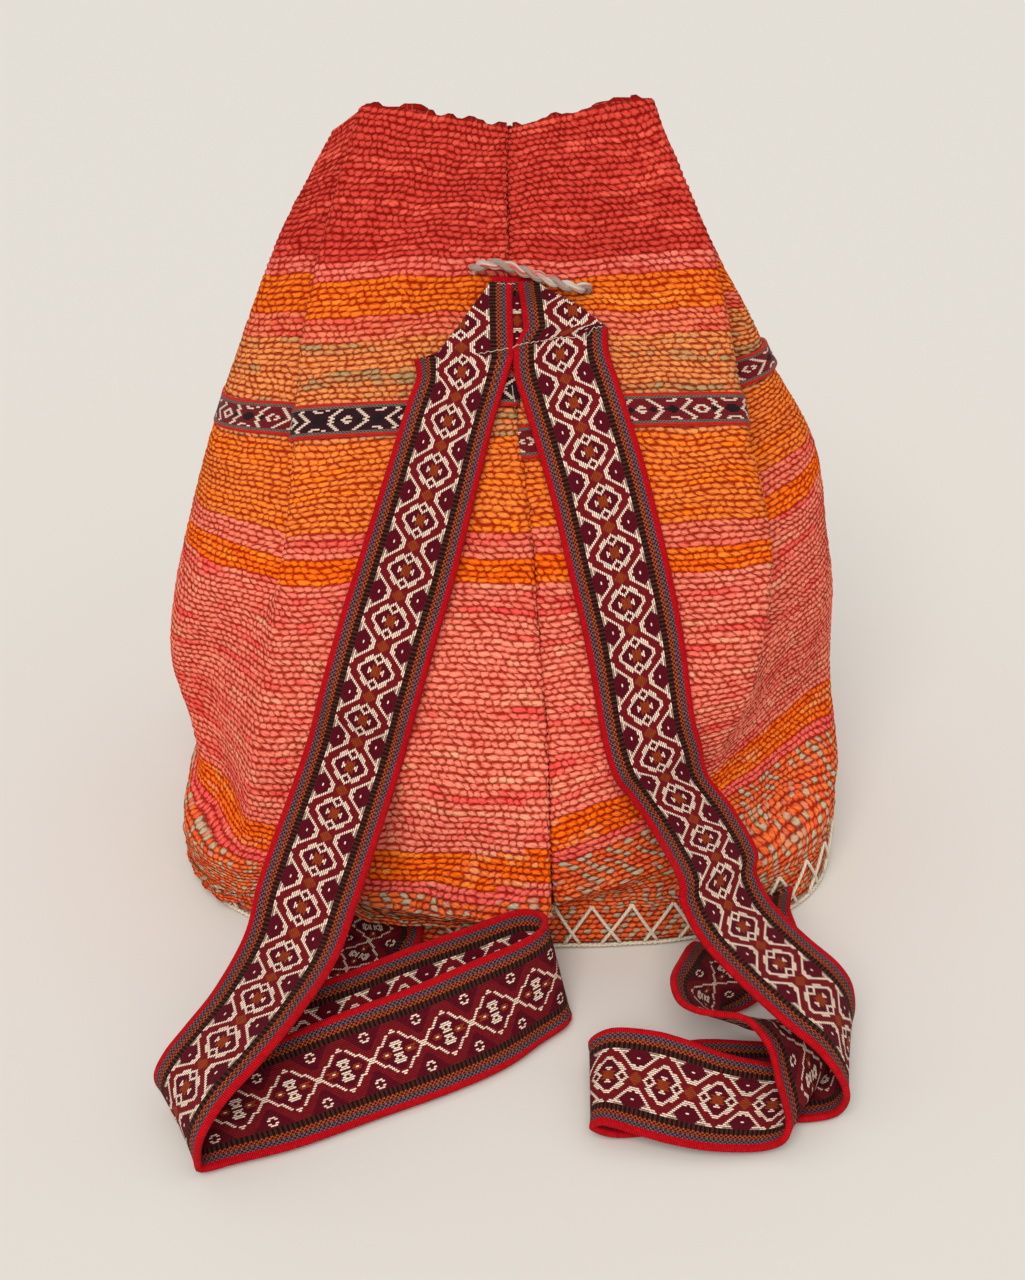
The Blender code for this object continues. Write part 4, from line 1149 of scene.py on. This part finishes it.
def make_drawcord(sizes):
    """The twisted cord over the strap heads, knotted inside the bag."""
    outside = [laid_section(x, row, lift) for x, row, lift in CORD_PATH]
    holes = [(front_point(x, row), -front_outward(x, row)) for x, row in CORD_HOLES]
    ends = [[start + inward * depth for depth in CORD_DEPTHS] for start, inward in holes]
    controls = np.array(ends[0][::-1] + outside + ends[1])
    controls = np.column_stack((controls, np.zeros(len(controls))))[:, None, :]
    path = run_smoothly(controls, CORD_STEP)[:, 0, :3]
    made, length = swept("twisted_cord", path, CORD_DIAMETER * 0.58, sides=10, plies=sizes.cord_plies,
                         twist=CORD_TWIST, ply_share=0.60)
    settle(made, grey_wool(), "grey_cord", "drawcord")
    for number, (start, inward) in enumerate(holes, 1):
        side = unit(np.cross(inward, (0.0, 0.0, 1.0)))
        other = np.cross(inward, side)
        line = []
        for step in range(57):
            t = step / 56
            angle = 2 * math.pi * KNOT_TURNS * t
            radius = KNOT_RADIUS * math.sin(math.pi * min(1.0, t * 1.25 + 0.02)) ** 0.4
            depth = KNOT_DEPTH + KNOT_LENGTH * t + 0.0015 * math.sin(2 * angle)
            line.append(start + inward * depth + (side * math.cos(angle) + other * math.sin(angle)) * radius)
        knot = swept(f"cord_knot_{number}", line, CORD_DIAMETER / 2 * 0.9, sides=10)[0]
        settle(knot, grey_wool(), "grey_cord")


def make_threads():
    """The thin cream sewing threads that hold the heads down."""
    pieces = []
    for number, run in enumerate(THREAD_RUNS):
        points = []
        for index, (start, end) in enumerate(zip(run, run[1:])):
            for step in range(8):
                x = mix(start[0], end[0], step / 8)
                row = mix(start[1], end[1], step / 8) + 0.0004 * math.sin(step * 1.9 + index)
                lift = 0.0004 + 0.0004 * math.sin(index * 2.1 + step * 1.3 + number)
                points.append(laid_section(x, row, STRAP_LIFT + STRAP_THICK + lift))
        pieces.append(swept(f"thread_{number}", points, THREAD_RADIUS, sides=5)[0])
    settle(joined(pieces, "sewing_threads"), cream_wool(), "lacing_yarn")


# Materials


class Wire:
    """A number in a material's node tree, so that a weave can be written as a formula."""

    def __init__(self, tree, socket):
        self.tree = tree
        self.socket = socket

    def through(self, operation, *others):
        """The result of a sum in a node of its own, with this number first."""
        node = self.tree.nodes.new("ShaderNodeMath")
        node.operation = operation
        for slot, value in zip(node.inputs, (self,) + others):
            feed(self.tree, slot, value)
        return Wire(self.tree, node.outputs[0])

    def constant(self, value):
        """A plain number as a wire of the same tree."""
        node = self.tree.nodes.new("ShaderNodeValue")
        node.outputs[0].default_value = float(value)
        return Wire(self.tree, node.outputs[0])

    def __add__(self, other):
        return self.through("ADD", other)

    def __radd__(self, other):
        return self.through("ADD", other)

    def __sub__(self, other):
        return self.through("SUBTRACT", other)

    def __rsub__(self, other):
        return self.constant(other).through("SUBTRACT", self)

    def __mul__(self, other):
        return self.through("MULTIPLY", other)

    def __rmul__(self, other):
        return self.through("MULTIPLY", other)

    def __truediv__(self, other):
        return self.through("DIVIDE", other)

    def __abs__(self):
        return self.through("ABSOLUTE")

    def floor(self):
        return self.through("FLOOR")

    def cycle(self, period):
        return self.through("FLOORED_MODULO", period)

    def sine(self):
        return self.through("SINE")

    def power(self, exponent):
        return self.through("POWER", exponent)

    def below(self, limit):
        return self.through("LESS_THAN", limit)

    def above(self, limit):
        return self.through("GREATER_THAN", limit)

    def between(self, low, high):
        return self.above(low) * self.below(high)

    def least(self, other):
        return self.through("MINIMUM", other)

    def most(self, other):
        return self.through("MAXIMUM", other)

    def held(self):
        """The number kept between zero and one."""
        return self.most(0.0).least(1.0)


def feed(tree, slot, value):
    """Gives an input its wire, its socket, its colour or its plain number."""
    if isinstance(value, Wire):
        tree.links.new(value.socket, slot)
    elif isinstance(value, bpy.types.NodeSocket):
        tree.links.new(value, slot)
    elif isinstance(value, tuple):
        slot.default_value = (*value, 1.0)
    else:
        slot.default_value = float(value)


def either(*masks):
    """One where any mask is one."""
    total = masks[0]
    for mask in masks[1:]:
        total = total.most(mask)
    return total


class Cloth:
    """A wool material, with its weave coordinates at hand and a shader to finish."""

    def __init__(self, name):
        self.made = bpy.data.materials.new(name)
        self.made.use_nodes = True
        self.tree = self.made.node_tree
        self.shader = self.tree.nodes["Principled BSDF"]
        source = self.tree.nodes.new("ShaderNodeAttribute")
        source.attribute_name = "weave"
        split = self.tree.nodes.new("ShaderNodeSeparateXYZ")
        self.tree.links.new(source.outputs["Vector"], split.inputs[0])
        self.x, self.y, self.z = (Wire(self.tree, output) for output in split.outputs)
        place = self.tree.nodes.new("ShaderNodeTexCoord")
        self.place = place.outputs["Object"]

    def vector(self, *numbers):
        """A vector of three numbers, each plain or a wire."""
        node = self.tree.nodes.new("ShaderNodeCombineXYZ")
        for slot, value in zip(node.inputs, numbers):
            feed(self.tree, slot, value)
        return node.outputs[0]

    def noise(self, vector, scale, detail, roughness=0.5):
        """A soft uneven number from zero to one."""
        node = self.tree.nodes.new("ShaderNodeTexNoise")
        node.inputs["Scale"].default_value = scale
        node.inputs["Detail"].default_value = detail
        node.inputs["Roughness"].default_value = roughness
        self.tree.links.new(vector, node.inputs["Vector"])
        return Wire(self.tree, node.outputs[0])

    def chance(self, *numbers):
        """An unordered number from zero to one for each cell of the weave."""
        node = self.tree.nodes.new("ShaderNodeTexWhiteNoise")
        self.tree.links.new(self.vector(*numbers), node.inputs["Vector"])
        return Wire(self.tree, node.outputs["Value"])

    def stripes(self, position, stops):
        """A colour that changes at set places along a number from zero to one."""
        node = self.tree.nodes.new("ShaderNodeValToRGB")
        bands = node.color_ramp
        bands.interpolation = "CONSTANT"
        bands.elements[0].position = 0.0
        bands.elements[0].color = (*stops[0][1], 1.0)
        bands.elements.remove(bands.elements[1])
        for place, colour in stops[1:]:
            bands.elements.new(place).color = (*colour, 1.0)
        self.tree.links.new(position.socket, node.inputs[0])
        return node.outputs[0]

    def mixed(self, share, first, second, blend="MIX"):
        """Two colours mixed by a share, each a socket or three numbers."""
        node = self.tree.nodes.new("ShaderNodeMix")
        node.data_type = "RGBA"
        node.blend_type = blend
        for slot, value in zip((node.inputs[0], node.inputs[6], node.inputs[7]), (share, first, second)):
            feed(self.tree, slot, value)
        return node.outputs[2]

    def shaded(self, colour, factor):
        """A colour made lighter or darker by a number."""
        grey = self.tree.nodes.new("ShaderNodeCombineColor")
        for slot in grey.inputs:
            feed(self.tree, slot, factor)
        return self.mixed(1.0, colour, grey.outputs[0], "MULTIPLY")

    def finish(self, colour, height, depth, roughness, sheen, strength, gloss=0.12):
        """Joins colour and height to the shader, with wool's dull surface and soft sheen."""
        feed(self.tree, self.shader.inputs["Base Color"], colour)
        self.shader.inputs["Roughness"].default_value = roughness
        self.shader.inputs["Specular IOR Level"].default_value = gloss
        self.shader.inputs["Sheen Weight"].default_value = sheen
        self.shader.inputs["Sheen Roughness"].default_value = 0.45
        bump = self.tree.nodes.new("ShaderNodeBump")
        bump.inputs["Strength"].default_value = strength
        bump.inputs["Distance"].default_value = depth
        self.tree.links.new(height.socket, bump.inputs["Height"])
        self.tree.links.new(bump.outputs[0], self.shader.inputs["Normal"])
        return self.made


def colours():
    """The colours that the user sets."""
    return bpy.context.scene.backpack_colours


def weft_beads(cloth, u, v):
    """The weft's beads as cells: row, cell, height, and the twist of the yarn's two plies."""
    row = v.floor()
    along = u + row.cycle(2.0) * 0.5
    cell = along.floor()
    size = cloth.chance(cell, row, 1.0)
    # Places inside the bead from minus one to one, slanted and shifted a little from bead to bead
    side = (along - cell) * 2.0 - 1.0
    rise = (v - row) * 2.0 - 1.0 + (cloth.chance(cell, row, 3.0) - 0.5) * 0.36 - side * 0.26
    side = side + (cloth.chance(cell, row, 2.0) - 0.5) * 0.36 + rise * 0.50
    end = abs(side).power(2.8)
    gap = (cloth.noise(cloth.vector(u * 1.3, v * 1.1, 7.0), 1.0, 1.0) - 0.5) * 1.5 + 0.88
    height = (1.0 - rise * rise * gap).most(0.0).power(0.5) * (1.0 - end * (0.35 + size * 0.50)).most(0.0)
    twist = ((side * 1.6 + rise * 1.1 + size * 6.0) * 3.1416).sine()
    return row, cell, height, twist


def wool_cloth(name, ground_stops, fleck_stops, span, mixed_from):
    """Thick weft-faced wool: rows of beads, stripes, flecks of a second yarn, painted shade in the gaps and
    painted highlight on the crowns.
    """
    cloth = Cloth(name)
    u, v = cloth.x, cloth.y
    row, cell, height, twist = weft_beads(cloth, u, v)
    # Stripes by the row, which the slip moves by whole rows
    place = (row + 0.5 + (cloth.z + 0.5).floor()) / span
    ground = cloth.stripes(place, ground_stops)
    fleck = cloth.stripes(place, fleck_stops)
    # Flecks of the second yarn: in streaks along the rows, and regular from where the yarns are mixed
    streak = cloth.noise(cloth.vector(u * 0.10, row * 0.61, 4.0), 1.0, 3.0, 0.65)
    lone = cloth.chance(cell, row, 5.0)
    long_streak = cloth.noise(cloth.vector(u * 0.022, row * 0.33, 6.0), 1.0, 2.0, 0.6)
    heather = ((streak - 0.50) * 4.0 + (long_streak - 0.52) * 6.0 + (lone - 0.5) * 0.9).held()
    second = (cell + (row * 0.5).floor()).cycle(2.0)
    speckle = ((second - 0.5) * 5.0 + (lone - 0.55) * 8.0 + (streak - 0.5) * 3.0).held()
    mixed = place.above(mixed_from)
    colour = cloth.mixed(heather * (1.0 - mixed) + speckle * mixed, ground, fleck)
    red = mixed * (cloth.chance(cell, row, 8.0) - 0.55).held() * 1.2
    colour = cloth.mixed(red, colour, RED_FLECK)
    # Fibres and fuzz, a pale dust of worn fibre, and how far the yarn fills its place, which sets the painted
    # shade in the gaps and the painted highlight on the crowns
    fibre = cloth.noise(cloth.place, 1500.0, 3.0, 0.80)
    fuzz = cloth.noise(cloth.vector(u * 2.2 + v * 0.9, v * 7.0, 2.0), 1.0, 2.0, 0.6)
    slow = cloth.noise(cloth.place, 14.0, 2.0)
    full = height * 1.05 + (fuzz - 0.5) * 0.60 + (fibre - 0.5) * 0.45 + (lone - 0.5) * 0.16 + twist * 0.08
    full = full.held()
    dust = cloth.noise(cloth.vector(u * 0.09, row * 0.5, 9.0), 1.0, 2.0, 0.6)
    dust = ((dust - 0.54) * 6.0 + (lone - 0.5) * 0.8).held()
    dust = dust * place.above(DUST_FROM / STRIPE_SPAN) * (1.0 - mixed) * 0.45
    colour = cloth.mixed(dust, colour, DUST)
    # Painted shade: where the yarn is low, in the gaps between beads, the colour is darkened and reddened
    # towards the gap tint
    deep = cloth.mixed(1.0, colour, PAINTED_GAP_SHADE, "MULTIPLY")
    colour = cloth.mixed(full.power(1.8), deep, colour)
    # Painted highlight: the crowns of the beads are lightened and paled, more where the fuzz is
    painted_highlight = cloth.mixed(1.0, colour, PAINTED_HIGHLIGHT_TINT, "MULTIPLY")
    colour = cloth.mixed(((full - 0.70) * 3.2).held() * (0.15 + fuzz * 0.85), colour, painted_highlight)
    light = (0.86 + slow * 0.24) * (0.78 + fibre * 0.40) * 1.16
    relief = height + twist * 0.07 + fibre * 0.30 + fuzz * 0.22
    return cloth.finish(cloth.shaded(colour, light), relief, 0.0016, roughness=0.95, sheen=0.01, strength=1.0,
                        gloss=0.02)


def striped_wool():
    """The body's cloth."""
    return wool_cloth("Striped wool cloth", GROUNDS, FLECKS, float(BEAD_ROWS), MIXED_FROM / STRIPE_SPAN)


def base_wool():
    """The base's cloth, in the mixed yarns of the body's foot all over."""
    return wool_cloth("Base wool cloth", GROUNDS[-1:], FLECKS[-1:], 400.0, -9.0)


def tape_threads(cloth, thread, pick):
    """A tape's threads as cells: column, pick, oddness, the cell's place in the tape, and relief."""
    x, y = cloth.x * 1000.0, cloth.y * 1000.0
    column = (x / thread + 0.5).floor()
    odd = column.cycle(2.0)
    shifted = y / pick + odd * 0.5
    number = shifted.floor()
    side = (x / thread + 0.5 - column) * 2.0 - 1.0
    rise = (shifted - number) * 2.0 - 1.0
    off_middle = abs(column * thread)
    along = (number + 0.5 - odd * 0.5) * pick
    relief = (1.0 - side * side) * (1.0 - rise * rise * 0.6)
    return column, number, odd, off_middle, along, relief


def woven_tape():
    """The straps' tape: a pale pick-up pattern on dark red, striped borders and red selvedges."""
    kept = bpy.data.materials.get("Patterned strap tape")
    if kept:
        return kept
    cloth = Cloth("Patterned strap tape")
    pale, dark = tuple(colours().motif), tuple(colours().ground)
    column, number, odd, off, along, relief = tape_threads(cloth, THREAD * 1000.0, PICK * 1000.0)
    even = 1.0 - odd
    # The pattern in millimetres: off the tape's middle, and from a repeat's middle and from its end
    period = REPEAT * 1000.0
    near = abs((along + period / 2).cycle(period) - period / 2)
    far = period / 2 - near
    front = either(
        abs(off + near * 0.95 - 10.0).below(1.15) * off.below(8.8) * near.below(7.6),
        abs(off - 8.6).below(0.7) * near.below(2.3),
        abs(far - (off - 4.0) * 1.04).below(1.05) * off.above(3.6),
        (off * off + (near - 6.4) * (near - 6.4)).between(1.5, 9.0),
        abs(off - 3.2).below(0.6) * near.below(0.9),
        abs(off - 10.0).below(0.6) * far.below(0.9),
        abs(far - 6.6).below(1.9 - (14.0 - off) * 0.7) * off.above(11.2) * (0.30 + even * 0.70))
    front_rust = either(off.below(2.4) * near.below(2.6), (off + far).below(3.0))
    back = either(
        abs(near - (1.0 - off / 10.5) * (period / 2)).below(0.9),
        (far + off).below(2.2),
        ((off - 2.9) * (off - 2.9) + near * near).between(1.2, 6.5),
        off.below(0.5) * abs(near - 5.6).below(0.8),
        ((off - 11.3) * (off - 11.3) + far * far).between(1.2, 5.5))
    back_rust = off.below(1.8) * near.between(3.4, 8.0)
    face = cloth.z.above(0.5)
    pale_mask = face * front + (1.0 - face) * back
    rust_mask = face * front_rust + (1.0 - face) * back_rust
    inside = (off + near * 0.95).below(9.4) * off.below(8.0)
    corner = (far - (off - 4.0) * 1.04).below(-0.8)
    colour = cloth.mixed(either(inside, corner), dark, TAPE_DEEP)
    colour = cloth.mixed(rust_mask, colour, TAPE_RUST)
    colour = cloth.mixed(pale_mask * (relief * 3.2 - 0.75).held(), colour, pale)

    # Borders: the first barred along the tape, the others checkered
    rib = (cloth.y * 1000.0 / 1.1).floor()
    checker = (rib + column).cycle(2.0)
    x = abs(cloth.x * 1000.0)
    for (start, first, second), thread in zip(TAPE_BORDERS, (rib.cycle(2.0), checker, checker)):
        colour = cloth.mixed(x.above(start), colour, cloth.mixed(thread, first, second))
    colour = cloth.mixed(x.above(SELVEDGE_FROM), colour, tuple(colours().selvedge))
    ribs = (cloth.y * 1000.0 / 0.8 * 6.2832).sine() * 0.5 + 0.5
    border = x.above(TAPE_BORDERS[0][0])
    relief = relief * (1.0 - border) + ribs * border
    relief = relief + pale_mask * (1.0 - border) * 0.35
    fibre = cloth.noise(cloth.place, 1900.0, 3.0, 0.7)
    slow = cloth.noise(cloth.place, 22.0, 2.0)
    # Painted shade between the threads: each thread darker towards its edges and ends, the raised pale floats
    # and border ribs lighter, with tone that differs at random from thread to thread
    light = (0.42 + (relief * 1.5).held() * 0.58) * (0.84 + cloth.chance(column, number, 2.0) * 0.26)
    light = light * (0.80 + fibre * 0.40) * (0.90 + slow * 0.2) * 1.15
    return cloth.finish(cloth.shaded(colour, light), relief + fibre * 0.2, 0.0004, roughness=0.9, sheen=0.02,
                        strength=0.8, gloss=0.06)


def woven_band():
    """The narrow band's weave: eyes and chevrons on dark red between dotted edges."""
    cloth = Cloth("Patterned band")
    column, number, _, off, place, relief = tape_threads(cloth, 0.9, 2.2)
    along = abs((place + 15.0).cycle(30.0) - 15.0)
    cross = abs(along - 15.0)
    ring = (along * 0.7 + off).between(1.5, 2.9)
    outer = abs(along + off * 0.88 - 9.6).below(1.1) * off.below(5.6)
    marks = abs(off - 4.2 - cross * 0.35).below(0.5) * cross.below(4.0)
    black = either((abs(along - 6.0) * 0.8 + off).below(1.5), (cross * 0.6 + off).below(2.6))
    ground = cloth.mixed(cloth.y.above(BAND_CHANGE), tuple(colours().ground), BAND_DEEP)
    colour = cloth.mixed(black, ground, BAND_BLACK)
    colour = cloth.mixed(either(ring, outer, marks), colour, BAND_PALE)
    side = abs(cloth.x * 1000.0)
    dots = ((cloth.x * 1000.0 / 0.8).floor() + (cloth.y * 1000.0 / 0.9).floor()).cycle(2.0)
    start, first, second = BAND_DOTS
    colour = cloth.mixed(side.above(start), colour, cloth.mixed(dots, first, second))
    colour = cloth.mixed(side.above(BAND_SELVEDGE_FROM), colour, BAND_EDGE)
    fibre = cloth.noise(cloth.place, 1900.0, 3.0, 0.7)
    # Painted shade between the threads: each thread darker towards its edges and ends, with tone that differs
    # at random from thread to thread
    light = (0.62 + (relief * 1.6).held() * 0.38) * (0.84 + cloth.chance(column, number, 2.0) * 0.26)
    colour = cloth.shaded(colour, light * (0.86 + fibre * 0.28))
    return cloth.finish(colour, relief + fibre * 0.2, 0.0004, roughness=0.85, sheen=0.08, strength=0.8)


def cream_wool():
    """The cream yarn of the lacing, the base's edge and the sewing."""
    kept = bpy.data.materials.get("Cream yarn")
    if kept:
        return kept
    cloth = Cloth("Cream yarn")
    twist = ((cloth.x * 2.0 + cloth.y * 330.0) * 6.2832).sine()
    fibre = cloth.noise(cloth.place, 1800.0, 3.0, 0.7)
    slow = cloth.noise(cloth.place, 60.0, 2.0)
    # Painted shade in the grooves of the yarn's twist, with random fibre and slow changes of tone
    light = (0.84 + twist * 0.10) * (0.82 + fibre * 0.36) * (0.86 + slow * 0.28)
    colour = cloth.shaded(tuple(colours().yarn), light)
    return cloth.finish(colour, twist * 0.5 + fibre * 0.5, 0.0003, roughness=0.9, sheen=0.2, strength=0.7)


def grey_wool():
    """The drawcord's yarn: grey and beige plies flecked with white and pink."""
    kept = bpy.data.materials.get("Grey cord yarn")
    if kept:
        return kept
    cloth = Cloth("Grey cord yarn")
    strand = cloth.x * 7.0 + cloth.y * 90.0
    lone = cloth.chance(strand.floor(), cloth.z, 3.0)
    slow = cloth.noise(cloth.vector(cloth.x * 2.0, cloth.y * 60.0, cloth.z), 1.0, 2.0)
    colour = cloth.mixed(cloth.z.above(0.5), *CORD_PLIES)
    colour = cloth.mixed(lone.above(0.6), colour, CORD_WHITE)
    colour = cloth.mixed(lone.above(0.86) * slow.above(0.45), colour, CORD_PINK)
    fibre = cloth.noise(cloth.place, 1500.0, 3.0, 0.7)
    colour = cloth.shaded(colour, (0.80 + fibre * 0.36) * (0.85 + slow * 0.25))
    relief = (strand * 6.2832).sine() * 0.5 + fibre * 0.5
    return cloth.finish(colour, relief, 0.0003, roughness=0.92, sheen=0.2, strength=0.7)


# Stage


def make_camera():
    """The camera, where the photograph's was."""
    data = bpy.data.cameras.new("photo_camera")
    data.sensor_width = CAMERA_SENSOR
    data.lens = CAMERA_LENS
    data.clip_end = 50.0
    camera = bpy.data.objects.new("photo_camera", data)
    camera.location = CAMERA_PLACE
    camera.rotation_euler = (math.radians(CAMERA_TILT), 0.0, 0.0)
    bpy.context.scene.collection.objects.link(camera)
    bpy.context.scene.camera = camera


def make_floor(colour):
    """A wide plain floor under the bag."""
    mesh = bpy.data.meshes.new("studio_floor")
    corners = [(x * FLOOR_REACH, y * FLOOR_REACH, 0.0) for x, y in ((-1, -1), (1, -1), (1, 1), (-1, 1))]
    mesh.from_pydata(corners, [], [(0, 1, 2, 3)])
    made = bpy.data.objects.new("studio_floor", mesh)
    made.location.z = -FLOOR_DROP
    bpy.context.scene.collection.objects.link(made)
    finish = bpy.data.materials.new("Studio floor")
    finish.use_nodes = True
    tree = finish.node_tree
    shader = tree.nodes["Principled BSDF"]
    shader.inputs["Roughness"].default_value = 0.9
    shader.inputs["Specular IOR Level"].default_value = 0.1
    noise = tree.nodes.new("ShaderNodeTexNoise")
    noise.inputs["Scale"].default_value = 2.5
    blend = tree.nodes.new("ShaderNodeMix")
    blend.data_type = "RGBA"
    blend.inputs[6].default_value = (*[c * 0.985 for c in colour], 1.0)
    blend.inputs[7].default_value = (*[min(c * 1.015, 1.0) for c in colour], 1.0)
    tree.links.new(noise.outputs[0], blend.inputs[0])
    tree.links.new(blend.outputs[2], shader.inputs["Base Color"])
    mesh.materials.append(finish)


def make_lights(colour):
    """One wide soft light from the upper left of the front, and pale light all round."""
    data = bpy.data.lights.new("key_light", "SUN")
    data.energy = KEY_STRENGTH
    data.angle = math.radians(KEY_SPREAD)
    data.color = KEY_COLOUR
    light = bpy.data.objects.new("key_light", data)
    light.rotation_euler = Vector(KEY_DIRECTION).to_track_quat("-Z", "Y").to_euler()
    bpy.context.scene.collection.objects.link(light)
    world = bpy.data.worlds.new("studio")
    world.use_nodes = True
    tree = world.node_tree
    lit = tree.nodes["Background"]
    lit.inputs[0].default_value = SKY_COLOUR
    lit.inputs[1].default_value = SKY_STRENGTH
    seen = tree.nodes.new("ShaderNodeBackground")
    seen.inputs[0].default_value = (*colour, 1.0)
    seen.inputs[1].default_value = BACKDROP_STRENGTH
    ray = tree.nodes.new("ShaderNodeLightPath")
    choose = tree.nodes.new("ShaderNodeMixShader")
    tree.links.new(ray.outputs["Is Camera Ray"], choose.inputs[0])
    tree.links.new(lit.outputs[0], choose.inputs[1])
    tree.links.new(seen.outputs[0], choose.inputs[2])
    tree.links.new(choose.outputs[0], tree.nodes["World Output"].inputs[0])
    bpy.context.scene.world = world


# Add-on


class BACKPACK_OT_stage(Operator):
    """Sets the camera, the floor and the lights"""

    bl_idname = "backpack.stage"
    bl_label = "Stage"

    def execute(self, context):
        make_camera()
        make_floor(tuple(context.scene.backpack_colours.floor))
        make_lights(tuple(context.scene.backpack_colours.floor))
        context.scene.view_settings.view_transform = "Standard"
        return {"FINISHED"}


class BACKPACK_OT_drawcord(Operator):
    """Makes the twisted drawcord and its knots"""

    bl_idname = "backpack.drawcord"
    bl_label = "Drawcord"

    def execute(self, context):
        make_drawcord(context.scene.backpack_sizes)
        return {"FINISHED"}


class BACKPACK_OT_base(Operator):
    """Makes the base's tray of cloth"""

    bl_idname = "backpack.base"
    bl_label = "Base"

    def execute(self, context):
        make_base(context.scene.backpack_sizes)
        return {"FINISHED"}


class BACKPACK_OT_cloth(Operator):
    """Makes the striped cloth of the body"""

    bl_idname = "backpack.cloth"
    bl_label = "Body cloth"

    def execute(self, context):
        make_cloth(context.scene.backpack_sizes)
        return {"FINISHED"}


class BACKPACK_OT_band(Operator):
    """Makes the patterned band round the body"""

    bl_idname = "backpack.band"
    bl_label = "Patterned band"

    def execute(self, context):
        make_band()
        return {"FINISHED"}


class BACKPACK_OT_straps(Operator):
    """Makes the two straps and the level piece of tape under their heads"""

    bl_idname = "backpack.straps"
    bl_label = "Straps"

    def execute(self, context):
        make_cross_piece(context.scene.backpack_sizes)
        make_straps(context.scene.backpack_sizes)
        return {"FINISHED"}


class BACKPACK_OT_lacing(Operator):
    """Makes the lacing over the base's rim and the yarn at its foot"""

    bl_idname = "backpack.lacing"
    bl_label = "Lacing"

    def execute(self, context):
        make_lacing(context.scene.backpack_sizes)
        make_edge_yarn()
        return {"FINISHED"}


class BACKPACK_OT_threads(Operator):
    """Makes the sewing threads on the strap heads"""

    bl_idname = "backpack.threads"
    bl_label = "Sewing threads"

    def execute(self, context):
        make_threads()
        return {"FINISHED"}


OPERATORS = (BACKPACK_OT_stage, BACKPACK_OT_drawcord, BACKPACK_OT_base, BACKPACK_OT_cloth, BACKPACK_OT_band,
             BACKPACK_OT_straps, BACKPACK_OT_lacing, BACKPACK_OT_threads)


class BACKPACK_PT_pieces(Panel):
    """Lists the backpack's pieces and its sizes and colours"""

    bl_label = "Backpack"
    bl_idname = "BACKPACK_PT_pieces"
    bl_space_type = "VIEW_3D"
    bl_region_type = "UI"
    bl_category = "Backpack"

    def draw(self, context):
        layout = self.layout
        for operator in OPERATORS:
            layout.operator(operator.bl_idname)
        for group in (context.scene.backpack_sizes, context.scene.backpack_colours):
            column = layout.column()
            for name in group.__annotations__:
                column.prop(group, name)


CLASSES = (BackpackSizes, BackpackColours, *OPERATORS, BACKPACK_PT_pieces)


def register():
    for entry in CLASSES:
        bpy.utils.register_class(entry)
    bpy.types.Scene.backpack_sizes = PointerProperty(type=BackpackSizes)
    bpy.types.Scene.backpack_colours = PointerProperty(type=BackpackColours)


def unregister():
    del bpy.types.Scene.backpack_colours
    del bpy.types.Scene.backpack_sizes
    for entry in reversed(CLASSES):
        bpy.utils.unregister_class(entry)


def main():
    register()
    for operator in OPERATORS:
        group, name = operator.bl_idname.split(".")
        getattr(getattr(bpy.ops, group), name)()


if __name__ == "__main__":
    main()
